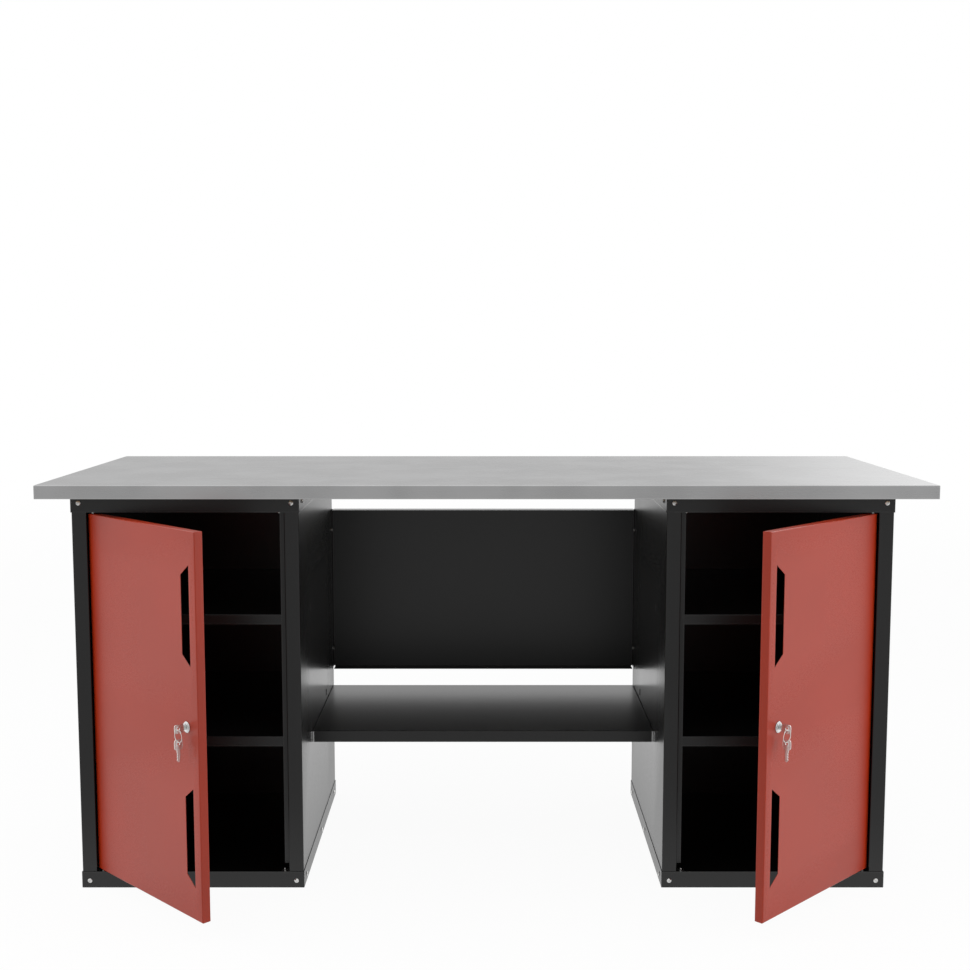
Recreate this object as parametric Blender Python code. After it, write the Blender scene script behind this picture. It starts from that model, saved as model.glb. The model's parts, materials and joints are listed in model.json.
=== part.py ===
"""Double pedestal workbench: a steel-clad worktop on two sheet steel cabinets.

Run with: blender --background --python part.py
Metres, +X to the right, +Y to the back, +Z up. The origin is the centre of the bench's footprint on the
floor, with both doors standing open at DOOR_OPEN_ANGLE.

A cabinet is modelled as the left one: its doors hinge at -X. The right one is its mirror image.
"""
import math

import bmesh
import bpy
from mathutils import Matrix, Vector

MM = 0.001

# Worktop
WORKTOP_WIDTH = 1800.0 * MM
WORKTOP_HEIGHT = 858.8 * MM
WORKTOP_THICKNESS = 27.8 * MM
WORKTOP_SKIN = 1.5 * MM
FRONT_OVERHANG = 71.0 * MM
BACK_OVERHANG = 27.0 * MM
LEFT_OVERHANG = 50.0 * MM
RIGHT_OVERHANG = 66.0 * MM

# Cabinet
CABINET_WIDTH = 467.0 * MM
CABINET_DEPTH = 598.0 * MM
SHEET = 1.0 * MM
TRAY_LIP = 35.3 * MM
POST_WIDTH = 31.8 * MM
STOP_DEPTH = 24.0 * MM
STOP_WIDTH = 12.0 * MM
STOP_NOTCH = 9.7 * MM
BACK_FLANGE = 25.0 * MM
FOLD_RADIUS = 0.8 * MM
FOLD_STEPS = 2

# Shelves inside a cabinet
UPPER_SHELF_HEIGHT = 578.0 * MM
LOWER_SHELF_HEIGHT = 317.6 * MM
SHELF_LIP = 21.2 * MM
SHELF_SETBACK = 30.0 * MM
SHELF_BACK_GAP = 4.0 * MM
TAB_FRONT = 153.0 * MM
TAB_BACK = 433.0 * MM
TAB_HEIGHT = 12.0 * MM
TAB_WIDTH = 2.0 * MM
SLOT_HEIGHT = 16.0 * MM
SLOT_WIDTH = 3.0 * MM

# Door
DOOR_BOTTOM_GAP = 4.4 * MM
DOOR_TOP_GAP = 3.2 * MM
DOOR_HINGE_GAP = 5.7 * MM
DOOR_LOCK_GAP = 7.7 * MM
DOOR_FLANGE = 17.7 * MM
DOOR_OPEN_ANGLE = math.radians(45.0)
PIVOT_SETBACK = 11.5 * MM
PIVOT_TO_EDGE = 5.0 * MM
PIVOT_TO_FACE = 8.0 * MM
VENT_TO_FREE_EDGE = 21.5 * MM
VENT_WIDTH = 28.5 * MM
VENT_LONG_SIDE = 195.0 * MM
VENT_SHORT_SIDE = 152.6 * MM
VENT_FROM_MIDDLE = 214.9 * MM

# Pivot pins and their brackets
PIN_RADIUS = 2.0 * MM
PIN_SHOULDER_RADIUS = 3.25 * MM
PIN_REACH = 6.5 * MM
PIN_HEAD_LENGTH = 2.5 * MM
PIN_DOME = 1.0 * MM
BLANK_PIN_GAP = 1.0 * MM
BRACKET_SHEET = 1.5 * MM
BRACKET_WIDTH = 45.0 * MM
BRACKET_PAST_PIN = 8.0 * MM
BRACKET_DEPTH = 19.0 * MM
BRACKET_TO_FLOOR = 3.0 * MM
BRACKET_BELOW_LIP = 2.3 * MM

# Screws
SCREW_HEAD_RADIUS = 4.75 * MM
SCREW_HEAD_HEIGHT = 2.6 * MM
SCREW_RADIUS = 2.5 * MM
SCREW_LENGTH = 8.0 * MM
SCREW_SIDES = 8
DOME_SWEEP = math.radians(75.0)
DOME_STEPS = 2
FRONT_SCREW_INSET = 16.5 * MM
SCREW_FROM_END = 15.9 * MM
SIDE_SCREW_INSET = 37.0 * MM
WORKTOP_SCREW_LENGTH = 19.0 * MM
WORKTOP_SCREW_SPREAD = 300.0 * MM
WORKTOP_SCREW_INSET = 125.0 * MM

# Lock
LOCK_TO_FREE_EDGE = 38.6 * MM
ROSETTE_RADIUS = 11.0 * MM
ROSETTE_THICKNESS = 2.0 * MM
ROSETTE_CHAMFER = 0.8 * MM
HOUSING_RADIUS = 8.0 * MM
HOUSING_LENGTH = 20.0 * MM
NUT_RADIUS = 11.5 * MM
NUT_THICKNESS = 3.0 * MM
NUT_SIDES = 6
PLUG_RADIUS = 5.5 * MM
PLUG_TAIL_RADIUS = 3.5 * MM
CAM_THICKNESS = 2.0 * MM
CAM_STOP_GAP = 0.5 * MM
CAM_LENGTH = 45.0 * MM
CAM_RADIUS = 8.0 * MM
CAM_TIP_RADIUS = 6.0 * MM
CAM_SCREW_HEAD_RADIUS = 4.5 * MM
CAM_SCREW_HEAD_HEIGHT = 2.4 * MM
CAM_SCREW_RADIUS = 1.7 * MM
CAM_SCREW_LENGTH = 5.0 * MM
ROUND_SIDES = 20

# Keys
KEY_THICKNESS = 2.0 * MM
KEY_BOW_LENGTH = 20.6 * MM
KEY_BOW_WIDTH = 18.0 * MM
KEY_BLADE_LENGTH = 23.5 * MM
KEY_BLADE_WIDTH = 7.8 * MM
KEY_STANDOFF = 7.0 * MM
KEY_HOLE_RADIUS = 3.0 * MM
KEY_HOLE_TO_END = 8.2 * MM
KEY_NOTCHES = 3
KEY_NOTCH_DEPTH = 1.4 * MM
KEY_BOW_STEPS = 14
KEY_HOLE_SIDES = 12
RING_RADIUS = 12.0 * MM
RING_WIRE_RADIUS = 0.75 * MM
RING_STEPS = 24
RING_WIRE_SIDES = 6

# Shelf and panel between the cabinets
MIDDLE_SHELF_HEIGHT = 286.5 * MM
MIDDLE_SHELF_SETBACK = 176.0 * MM
MIDDLE_SHELF_DEPTH = 405.0 * MM
MIDDLE_SHELF_LIP = 24.7 * MM
MIDDLE_SHELF_SCREW_INSET = 80.0 * MM
LIP_RELIEF = 4.4 * MM
MODESTY_BOTTOM = 331.9 * MM
MODESTY_HEIGHT = 398.7 * MM
MODESTY_FLANGE = 32.0 * MM
MODESTY_BACK_GAP = 3.0 * MM
MODESTY_SCREW_FROM_EDGE = 8.0 * MM
MODESTY_SCREW_FROM_END = 50.5 * MM

# Clearances: the gap between touching pieces, round a screw or spindle, and how far a cutter overshoots
CLEAR = 0.3 * MM
OVERSHOOT = 2.0 * MM

# Worked out from the sizes above
CABINET_HEIGHT = WORKTOP_HEIGHT - WORKTOP_THICKNESS - CLEAR
WORKTOP_DEPTH = FRONT_OVERHANG + CABINET_DEPTH + BACK_OVERHANG
HALF_CABINET = CABINET_WIDTH / 2
OPENING_WIDTH = CABINET_WIDTH - 2 * POST_WIDTH
HALF_OPENING = OPENING_WIDTH / 2
PANEL_INSET = SHEET + CLEAR
PANEL_FACE = HALF_CABINET - PANEL_INSET
PANEL_INSIDE = PANEL_FACE - SHEET
PANEL_TOP = CABINET_HEIGHT - PANEL_INSET
DOOR_BOTTOM = TRAY_LIP + DOOR_BOTTOM_GAP
DOOR_TOP = CABINET_HEIGHT - TRAY_LIP - DOOR_TOP_GAP
DOOR_MIDDLE = (DOOR_BOTTOM + DOOR_TOP) / 2
DOOR_WIDTH = OPENING_WIDTH - DOOR_HINGE_GAP - DOOR_LOCK_GAP
PIVOT_X = -HALF_OPENING + DOOR_HINGE_GAP + PIVOT_TO_EDGE
DOOR_FREE_EDGE = DOOR_WIDTH - PIVOT_TO_EDGE
LOCK_X = DOOR_FREE_EDGE - LOCK_TO_FREE_EDGE
DOOR_FACE_SETBACK = PIVOT_SETBACK - PIVOT_TO_FACE
CAM_FRONT = STOP_DEPTH + SHEET + CAM_STOP_GAP - DOOR_FACE_SETBACK
DOOR_TIP = DOOR_FREE_EDGE * math.sin(DOOR_OPEN_ANGLE) + PIVOT_TO_FACE * math.cos(DOOR_OPEN_ANGLE)
FRONT_Y = (DOOR_TIP - PIVOT_SETBACK + FRONT_OVERHANG - WORKTOP_DEPTH) / 2
LEFT_CENTRE = -WORKTOP_WIDTH / 2 + LEFT_OVERHANG + HALF_CABINET
RIGHT_CENTRE = WORKTOP_WIDTH / 2 - RIGHT_OVERHANG - HALF_CABINET
MODESTY_FRONT = CABINET_DEPTH - MODESTY_BACK_GAP - MODESTY_FLANGE
SPAN_CENTRE = (LEFT_CENTRE + RIGHT_CENTRE) / 2
SPAN_HALF = (RIGHT_CENTRE - LEFT_CENTRE) / 2 - PANEL_FACE - CLEAR
BRACKET_SHELF = TRAY_LIP - BRACKET_BELOW_LIP
HOLE_RADIUS = SCREW_RADIUS + CLEAR
KEY_HOLE_OUT = KEY_STANDOFF + KEY_BOW_LENGTH - KEY_HOLE_TO_END
RING_DROP = KEY_HOLE_RADIUS - RING_WIRE_RADIUS - CLEAR

# Frames for a flat outline: one stands it up across the front, the other carries it along x
UPRIGHT = Matrix(((1, 0, 0, 0), (0, 0, 1, 0), (0, 1, 0, 0), (0, 0, 0, 1)))
ALONG_X = Matrix(((0, 0, 1, 0), (1, 0, 0, 0), (0, 1, 0, 0), (0, 0, 0, 1)))


def clear_scene():
    for old in list(bpy.data.objects):
        bpy.data.objects.remove(old, do_unlink=True)


def make_material(name, colour, roughness, metallic):
    """A Principled material with one colour, roughness and metallic value."""
    material = bpy.data.materials.new(name)
    material.use_nodes = True
    shader = material.node_tree.nodes["Principled BSDF"]
    shader.inputs["Base Color"].default_value = (*colour, 1.0)
    shader.inputs["Roughness"].default_value = roughness
    shader.inputs["Metallic"].default_value = metallic
    return material


# Building blocks, each added to a bmesh as one closed body

def add_hull_faces(bm, corners, skip=None, flip=False):
    """The faces of a box whose corners are indexed by x, y, z in 0 and 1, but for the skipped one."""
    for axis in range(3):
        for side in range(2):
            if (axis, side) == skip:
                continue
            others = [a for a in range(3) if a != axis]
            loop = []
            for first, second in ((0, 0), (1, 0), (1, 1), (0, 1)):
                index = [0, 0, 0]
                index[axis] = side
                index[others[0]] = first
                index[others[1]] = second
                loop.append(corners[tuple(index)])
            if (side == 0) ^ (axis == 1) ^ flip:
                loop.reverse()
            bm.faces.new(loop)


def add_corners(bm, low, high):
    return {
        (i, j, k): bm.verts.new(((low[0], high[0])[i], (low[1], high[1])[j], (low[2], high[2])[k]))
        for i in range(2) for j in range(2) for k in range(2)
    }


def add_box(bm, low, high):
    add_hull_faces(bm, add_corners(bm, low, high))


def add_tray(bm, low, high, wall, axis, side):
    """A box with a pocket: a plate with four lips, open on one side (0 low or 1 high) of one axis."""
    pocket_low = [value + wall for value in low]
    pocket_high = [value - wall for value in high]
    if side:
        pocket_high[axis] = high[axis]
    else:
        pocket_low[axis] = low[axis]
    outer = add_corners(bm, low, high)
    inner = add_corners(bm, pocket_low, pocket_high)
    add_hull_faces(bm, outer, skip=(axis, side))
    add_hull_faces(bm, inner, skip=(axis, side), flip=True)
    others = [a for a in range(3) if a != axis]
    rim = []
    for first, second in ((0, 0), (1, 0), (1, 1), (0, 1)):
        index = [0, 0, 0]
        index[axis] = side
        index[others[0]] = first
        index[others[1]] = second
        rim.append(tuple(index))
    for here, after in zip(rim, rim[1:] + rim[:1]):
        loop = [outer[here], outer[after], inner[after], inner[here]]
        if (side == 0) ^ (axis == 1):
            loop.reverse()
        bm.faces.new(loop)


def add_prism(bm, outline, low, high, frame=Matrix.Identity(4)):
    """A flat outline (x, y) carried from low to high along z, then placed by a frame."""
    bottom = [bm.verts.new(frame @ Vector((x, y, low))) for x, y in outline]
    top = [bm.verts.new(frame @ Vector((x, y, high))) for x, y in outline]
    faces = [bm.faces.new(list(reversed(bottom))), bm.faces.new(top)]
    count = len(outline)
    for i in range(count):
        j = (i + 1) % count
        faces.append(bm.faces.new((bottom[i], bottom[j], top[j], top[i])))
    bmesh.ops.recalc_face_normals(bm, faces=faces)


def add_turned(bm, profile, sides, frame=Matrix.Identity(4), closed_loop=False):
    """A profile (radius, height) spun round z. A closed loop makes a ring, else both ends are capped."""
    rings = []
    for radius, height in profile:
        ring = []
        for step in range(sides):
            angle = 2 * math.pi * step / sides
            point = Vector((radius * math.cos(angle), radius * math.sin(angle), height))
            ring.append(bm.verts.new(frame @ point))
        rings.append(ring)
    faces = []
    pairs = list(zip(rings, rings[1:]))
    if closed_loop:
        pairs.append((rings[-1], rings[0]))
    else:
        faces.append(bm.faces.new(list(reversed(rings[0]))))
        faces.append(bm.faces.new(rings[-1]))
    for lower, upper in pairs:
        for i in range(sides):
            j = (i + 1) % sides
            faces.append(bm.faces.new((lower[i], lower[j], upper[j], upper[i])))
    bmesh.ops.recalc_face_normals(bm, faces=faces)


def pointing(axis):
    """A rotation that turns +Z to the given axis."""
    return Vector(axis).to_track_quat("Z", "Y").to_matrix().to_4x4()


def frame_at(place, axis=(0, 0, 1)):
    return Matrix.Translation(place) @ pointing(axis)


def add_rod(bm, place, axis, low, high, radius, sides):
    add_turned(bm, [(radius, low), (radius, high)], sides, frame_at(place, axis))


def rounded_line(points, radii, steps):
    """A polyline whose inner corners are arcs of the given radii."""
    line = [Vector(points[0])]
    for before, corner, after, radius in zip(points, points[1:], points[2:], radii):
        corner = Vector(corner)
        back = (Vector(before) - corner).normalized()
        ahead = (Vector(after) - corner).normalized()
        half_angle = back.angle(ahead) / 2
        setback = radius / math.tan(half_angle)
        start = corner + back * setback
        end = corner + ahead * setback
        centre = corner + (back + ahead).normalized() * (radius / math.sin(half_angle))
        first = start - centre
        sweep = first.angle_signed(end - centre)
        for step in range(steps + 1):
            turn = -sweep * step / steps
            line.append(centre + Matrix.Rotation(turn, 2) @ first)
    line.append(Vector(points[-1]))
    return line


def folded_outline(points, thickness):
    """The cross-section of a folded sheet: its given face, and the other face to the left of it."""
    points = [Vector(point) for point in points]
    offset = []
    turns = []
    for i, point in enumerate(points):
        ahead = (points[min(i + 1, len(points) - 1)] - points[min(i, len(points) - 2)]).normalized()
        behind = (points[max(i, 1)] - points[max(i - 1, 0)]).normalized()
        left_ahead = Vector((-ahead.y, ahead.x))
        left_behind = Vector((-behind.y, behind.x))
        mitre = (left_ahead + left_behind).normalized()
        offset.append(point + mitre * (thickness / mitre.dot(left_ahead)))
        turns.append(behind.x * ahead.y - behind.y * ahead.x)
    outer = FOLD_RADIUS + thickness
    given_radii = [FOLD_RADIUS if turn < 0 else outer for turn in turns[1:-1]]
    other_radii = [outer if turn < 0 else FOLD_RADIUS for turn in turns[1:-1]]
    given = rounded_line(points, given_radii, FOLD_STEPS)
    other = rounded_line(offset, other_radii, FOLD_STEPS)
    return given + list(reversed(other))


def dome(radius, height, base):
    """A profile that rises from a rim at the base to a small flat crown, along an ellipse."""
    profile = []
    for step in range(DOME_STEPS + 1):
        angle = DOME_SWEEP * step / DOME_STEPS
        rise = math.sin(angle) / math.sin(DOME_SWEEP)
        profile.append((radius * math.cos(angle), base + height * rise))
    return profile


def screw_profile(length):
    """A pan head on a shank: the head's underside is at height 0 and the shank runs to -length."""
    shank = [(SCREW_RADIUS, -length), (SCREW_RADIUS, 0.0)]
    return shank + dome(SCREW_HEAD_RADIUS, SCREW_HEAD_HEIGHT, 0.0)


def add_screws(bm, seats, length=SCREW_LENGTH):
    """Screws whose heads sit on the seats (place, outward axis), just clear of the sheet."""
    for place, axis in seats:
        lifted = Vector(place) + Vector(axis) * CLEAR
        add_turned(bm, screw_profile(length), SCREW_SIDES, frame_at(lifted, axis))


def add_screw_holes(bm, seats, length=SCREW_LENGTH):
    for place, axis in seats:
        add_rod(bm, place, axis, -length - CLEAR, OVERSHOOT, HOLE_RADIUS, SCREW_SIDES)


# Objects

def finish(name, bm, material, parent=None, at=(0.0, 0.0, 0.0), mirrored=False, smooth=False):
    """Turn a bmesh, built round the point given, into an object. A mirrored one is flipped in x."""
    flip = -1.0 if mirrored else 1.0
    if mirrored:
        bmesh.ops.scale(bm, vec=(-1.0, 1.0, 1.0), verts=bm.verts)
        bmesh.ops.reverse_faces(bm, faces=bm.faces)
    mesh = bpy.data.meshes.new(name)
    bm.to_mesh(mesh)
    bm.free()
    mesh.materials.append(material)
    if smooth:
        mesh.shade_smooth()
        mesh.set_sharp_from_angle(angle=math.radians(35.0))
    piece = bpy.data.objects.new(name, mesh)
    bpy.context.collection.objects.link(piece)
    piece.location = (flip * at[0], at[1], at[2])
    piece.parent = parent
    return piece


def make_empty(name, parent=None, at=(0.0, 0.0, 0.0), mirrored=False, turn=0.0):
    flip = -1.0 if mirrored else 1.0
    empty = bpy.data.objects.new(name, None)
    empty.empty_display_size = 0.05
    bpy.context.collection.objects.link(empty)
    empty.location = (flip * at[0], at[1], at[2])
    empty.rotation_euler = (0.0, 0.0, flip * turn)
    empty.parent = parent
    return empty


def combine(piece, bm, operation, mirrored=False):
    """Cut the piece with, or join it to, the bodies in a bmesh in the piece's own coordinates."""
    tool_name = piece.name + "_" + operation.lower()
    tool = finish(tool_name, bm, piece.data.materials[0], piece.parent, mirrored=mirrored)
    tool.location = piece.location
    tool.hide_render = True
    tool.display_type = "WIRE"
    boolean = piece.modifiers.new(operation.title(), "BOOLEAN")
    boolean.operation = operation
    boolean.solver = "EXACT"
    boolean.object = tool


def join_screws(piece, seats, mirrored, length=SCREW_LENGTH):
    """Make the screws that thread into a piece, or stay with it, one body with it."""
    bm = bmesh.new()
    add_screws(bm, seats, length)
    combine(piece, bm, "UNION", mirrored)


# Where the screws go: (place, outward axis) in a cabinet's coordinates

def end_seats(y, axis, sides=(-1, 1)):
    """The tray lips' screws at the front or the back corners."""
    inset = HALF_CABINET - FRONT_SCREW_INSET
    heights = (SCREW_FROM_END, CABINET_HEIGHT - SCREW_FROM_END)
    return [((side * inset, y, z), axis) for side in sides for z in heights]


def front_seats():
    return end_seats(0.0, (0, -1, 0))


def back_seats(sides=(-1, 1)):
    return end_seats(CABINET_DEPTH, (0, 1, 0), sides)


def side_seats(side):
    """The tray lips' screws on one side: front, middle and back."""
    seats = []
    for y in (SIDE_SCREW_INSET, CABINET_DEPTH / 2, CABINET_DEPTH - SIDE_SCREW_INSET):
        for z in (SCREW_FROM_END, CABINET_HEIGHT - SCREW_FROM_END):
            seats.append(((side * HALF_CABINET, y, z), (side, 0, 0)))
    return seats


def worktop_seats():
    """The screws up through the top tray: their heads hang under its plate."""
    seats = []
    for x in (-WORKTOP_SCREW_SPREAD / 2, WORKTOP_SCREW_SPREAD / 2):
        for y in (WORKTOP_SCREW_INSET, CABINET_DEPTH - WORKTOP_SCREW_INSET):
            seats.append(((x, y, CABINET_HEIGHT - SHEET), (0, 0, -1)))
    return seats


def middle_shelf_places():
    """Where the middle shelf's end lips are screwed on: (y, z)."""
    z = MIDDLE_SHELF_HEIGHT - MIDDLE_SHELF_LIP / 2
    front = MIDDLE_SHELF_SETBACK + MIDDLE_SHELF_SCREW_INSET
    back = MIDDLE_SHELF_SETBACK + MIDDLE_SHELF_DEPTH - MIDDLE_SHELF_SCREW_INSET
    return [(front, z), (back, z)]


def modesty_places():
    """Where the modesty panel's end flanges are screwed on: (y, z)."""
    y = MODESTY_FRONT + MODESTY_SCREW_FROM_EDGE
    top = MODESTY_BOTTOM + MODESTY_HEIGHT
    return [(y, MODESTY_BOTTOM + MODESTY_SCREW_FROM_END), (y, top - MODESTY_SCREW_FROM_END)]


def span_seats(places, origin):
    """Screws through both end flanges of a piece between the cabinets, as seen from the piece's origin."""
    x = SPAN_HALF - SHEET
    return [((side * x, y - origin[1], z - origin[2]), (-side, 0, 0)) for side in (-1, 1) for y, z in places]


# Worktop

def build_worktop(bench, steel, board):
    low = (-WORKTOP_WIDTH / 2, -FRONT_OVERHANG, -WORKTOP_THICKNESS)
    high = (WORKTOP_WIDTH / 2, WORKTOP_DEPTH - FRONT_OVERHANG, 0.0)
    place = (0.0, 0.0, WORKTOP_HEIGHT)
    bm = bmesh.new()
    add_tray(bm, low, high, WORKTOP_SKIN, axis=2, side=0)
    finish("worktop_skin", bm, steel, bench, place)

    inset = WORKTOP_SKIN + CLEAR
    bm = bmesh.new()
    add_box(bm, (low[0] + inset, low[1] + inset, low[2]), (high[0] - inset, high[1] - inset, -inset))
    core = finish("worktop_core", bm, board, bench, place)

    bm = bmesh.new()
    for centre in (LEFT_CENTRE, RIGHT_CENTRE):
        seats = [((x + centre, y, z - WORKTOP_HEIGHT), axis) for (x, y, z), axis in worktop_seats()]
        add_screw_holes(bm, seats, WORKTOP_SCREW_LENGTH)
    combine(core, bm, "DIFFERENCE")


# Cabinet

def build_tray(name, cabinet, paint, mirrored, top):
    """A plate with four lips, upside down at the top of the cabinet and right way up at its foot."""
    low_z = CABINET_HEIGHT - TRAY_LIP if top else 0.0
    bm = bmesh.new()
    low = (-HALF_CABINET, 0.0, low_z)
    high = (HALF_CABINET, CABINET_DEPTH, low_z + TRAY_LIP)
    add_tray(bm, low, high, SHEET, axis=2, side=0 if top else 1)
    tray = finish(name, bm, paint, cabinet, mirrored=mirrored)

    bm = bmesh.new()
    seats = front_seats() + back_seats() + side_seats(-1) + side_seats(1)
    add_screw_holes(bm, [seat for seat in seats if (seat[0][2] > CABINET_HEIGHT / 2) == top])
    combine(tray, bm, "DIFFERENCE", mirrored)
    if top:
        join_screws(tray, worktop_seats(), mirrored, WORKTOP_SCREW_LENGTH)


def side_panel_outline():
    """The side panel's section at +X, seen from above: stop lip, return, post, side and back flange."""
    back = CABINET_DEPTH - PANEL_INSET
    return folded_outline([
        (HALF_OPENING - STOP_WIDTH, STOP_DEPTH),
        (HALF_OPENING, STOP_DEPTH),
        (HALF_OPENING, PANEL_INSET),
        (PANEL_FACE, PANEL_INSET),
        (PANEL_FACE, back),
        (PANEL_FACE - BACK_FLANGE, back),
    ], SHEET)


def build_side_panel(name, cabinet, paint, mirrored, side):
    """side is 1 for the panel next to the other cabinet and -1 for the outer one."""
    bm = bmesh.new()
    outline = side_panel_outline()
    if side < 0:
        outline = [Vector((-point.x, point.y)) for point in outline]
    add_prism(bm, outline, PANEL_INSET, PANEL_TOP)
    panel = finish(name, bm, paint, cabinet, mirrored=mirrored)

    bm = bmesh.new()
    add_screw_holes(bm, end_seats(0.0, (0, -1, 0), (side,)))
    middle = (PANEL_FACE - SHEET / 2) * side
    for height in (UPPER_SHELF_HEIGHT, LOWER_SHELF_HEIGHT):
        z = height - SHELF_LIP / 2
        for y in (TAB_FRONT, TAB_BACK):
            low = (middle - OVERSHOOT, y - SLOT_WIDTH / 2, z - SLOT_HEIGHT / 2)
            add_box(bm, low, (middle + OVERSHOOT, y + SLOT_WIDTH / 2, z + SLOT_HEIGHT / 2))
    # The return and the stop lip end short of the pivot brackets
    near = HALF_OPENING - STOP_WIDTH - OVERSHOOT
    far = HALF_OPENING + SHEET + FOLD_RADIUS
    across = sorted((near * side, far * side))
    front = PANEL_INSET + SHEET - CLEAR
    back = STOP_DEPTH + SHEET + OVERSHOOT
    foot = TRAY_LIP + STOP_NOTCH
    head = CABINET_HEIGHT - TRAY_LIP
    add_box(bm, (across[0], front, 0.0), (across[1], back, foot))
    add_box(bm, (across[0], front, head), (across[1], back, CABINET_HEIGHT))
    combine(panel, bm, "DIFFERENCE", mirrored)

    seats = back_seats((side,)) + side_seats(side)
    if side > 0:
        flange = PANEL_FACE + CLEAR + SHEET
        seats += [((flange, y, z), (1, 0, 0)) for y, z in middle_shelf_places() + modesty_places()]
    join_screws(panel, seats, mirrored)


def build_back_panel(name, cabinet, paint, mirrored):
    back = CABINET_DEPTH - PANEL_INSET - SHEET - CLEAR
    half = PANEL_INSIDE - CLEAR
    bm = bmesh.new()
    add_box(bm, (-half, back - SHEET, PANEL_INSET), (half, back, PANEL_TOP))
    panel = finish(name, bm, paint, cabinet, mirrored=mirrored)
    bm = bmesh.new()
    add_screw_holes(bm, back_seats())
    combine(panel, bm, "DIFFERENCE", mirrored)


def build_shelf(name, cabinet, paint, mirrored, height):
    """A shelf with four lips down, whose end lips have tabs that hook into the side panels' slots."""
    half = PANEL_INSIDE - CLEAR
    depth = CABINET_DEPTH - PANEL_INSET - 2 * SHEET - CLEAR - SHELF_BACK_GAP - SHELF_SETBACK
    bm = bmesh.new()
    add_tray(bm, (-half, 0.0, -SHELF_LIP), (half, depth, 0.0), SHEET, axis=2, side=0)
    shelf = finish(name, bm, paint, cabinet, (0.0, SHELF_SETBACK, height), mirrored)

    bm = bmesh.new()
    for y in (TAB_FRONT - SHELF_SETBACK, TAB_BACK - SHELF_SETBACK):
        for side in (-1, 1):
            across = sorted((side * (half - SHEET / 2), side * PANEL_FACE))
            low_z = -SHELF_LIP / 2 - SLOT_HEIGHT / 2 + CLEAR
            low = (across[0], y - TAB_WIDTH / 2, low_z)
            add_box(bm, low, (across[1], y + TAB_WIDTH / 2, low_z + TAB_HEIGHT))
    combine(shelf, bm, "UNION", mirrored)


# Pivots, modelled at the foot of the cabinet; the upper ones are turned upside down

def flip_up(bm):
    bmesh.ops.scale(bm, vec=(1.0, 1.0, -1.0), verts=bm.verts)
    bmesh.ops.reverse_faces(bm, faces=bm.faces)


def build_pivot(name, cabinet, zinc, mirrored, side, upper, spindle):
    """A bracket behind the tray's lip, the screw that holds it and the shouldered pin that stands on it.

    Their origin is on the pin's axis at the floor, or at the top of the cabinet for an upper one.
    """
    door_end = CABINET_HEIGHT - DOOR_TOP if upper else DOOR_BOTTOM
    shoulder = door_end - (CLEAR if spindle else BLANK_PIN_GAP)
    place = (side * -PIVOT_X, PIVOT_SETBACK, CABINET_HEIGHT if upper else 0.0)
    leg_front = PANEL_INSET + SHEET + CLEAR - PIVOT_SETBACK
    section = [
        (leg_front, BRACKET_TO_FLOOR),
        (leg_front + BRACKET_SHEET, BRACKET_TO_FLOOR),
        (leg_front + BRACKET_SHEET, BRACKET_SHELF - BRACKET_SHEET),
        (leg_front + BRACKET_DEPTH, BRACKET_SHELF - BRACKET_SHEET),
        (leg_front + BRACKET_DEPTH, BRACKET_SHELF),
        (leg_front, BRACKET_SHELF),
    ]
    near = -side * BRACKET_PAST_PIN
    ends = sorted((near, near + side * BRACKET_WIDTH))
    bm = bmesh.new()
    add_prism(bm, section, ends[0], ends[1], ALONG_X)
    if upper:
        flip_up(bm)
    bracket = finish(name + "_bracket", bm, zinc, cabinet, place, mirrored)

    seat_x = side * (HALF_CABINET - FRONT_SCREW_INSET) - place[0]
    seats = [((seat_x, -PIVOT_SETBACK, SCREW_FROM_END), (0, -1, 0))]
    bm = bmesh.new()
    add_screws(bm, seats)
    if upper:
        flip_up(bm)
    finish(name + "_screw", bm, zinc, cabinet, place, mirrored, smooth=True)

    bm = bmesh.new()
    add_screw_holes(bm, seats)
    low = BRACKET_SHELF - BRACKET_SHEET - OVERSHOOT
    add_rod(bm, (0, 0, 0), (0, 0, 1), low, BRACKET_SHELF + OVERSHOOT, PIN_RADIUS + CLEAR, SCREW_SIDES)
    if upper:
        flip_up(bm)
    combine(bracket, bm, "DIFFERENCE", mirrored)

    head_top = BRACKET_SHELF - BRACKET_SHEET - CLEAR
    profile = [
        (PIN_SHOULDER_RADIUS, head_top - PIN_HEAD_LENGTH),
        (PIN_SHOULDER_RADIUS, head_top),
        (PIN_RADIUS, head_top),
        (PIN_RADIUS, BRACKET_SHELF + CLEAR),
        (PIN_SHOULDER_RADIUS, BRACKET_SHELF + CLEAR),
    ]
    if spindle:
        profile += [
            (PIN_SHOULDER_RADIUS, shoulder),
            (PIN_RADIUS, shoulder),
            (PIN_RADIUS, shoulder + PIN_REACH),
        ]
    else:
        profile += dome(PIN_SHOULDER_RADIUS, PIN_DOME, shoulder - PIN_DOME)
    bm = bmesh.new()
    add_turned(bm, profile, ROUND_SIDES // 2)
    if upper:
        flip_up(bm)
    finish(name + "_pin", bm, zinc, cabinet, place, mirrored, smooth=True)


# Door, in coordinates whose origin is the pivot axis at floor level and whose door is closed

def vent_outline(centre_z):
    """A vent slot: a trapezium whose long side is nearest the free edge."""
    outer = DOOR_FREE_EDGE - VENT_TO_FREE_EDGE
    inner = outer - VENT_WIDTH
    return [
        (inner, centre_z - VENT_SHORT_SIDE / 2),
        (outer, centre_z - VENT_LONG_SIDE / 2),
        (outer, centre_z + VENT_LONG_SIDE / 2),
        (inner, centre_z + VENT_SHORT_SIDE / 2),
    ]


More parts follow.
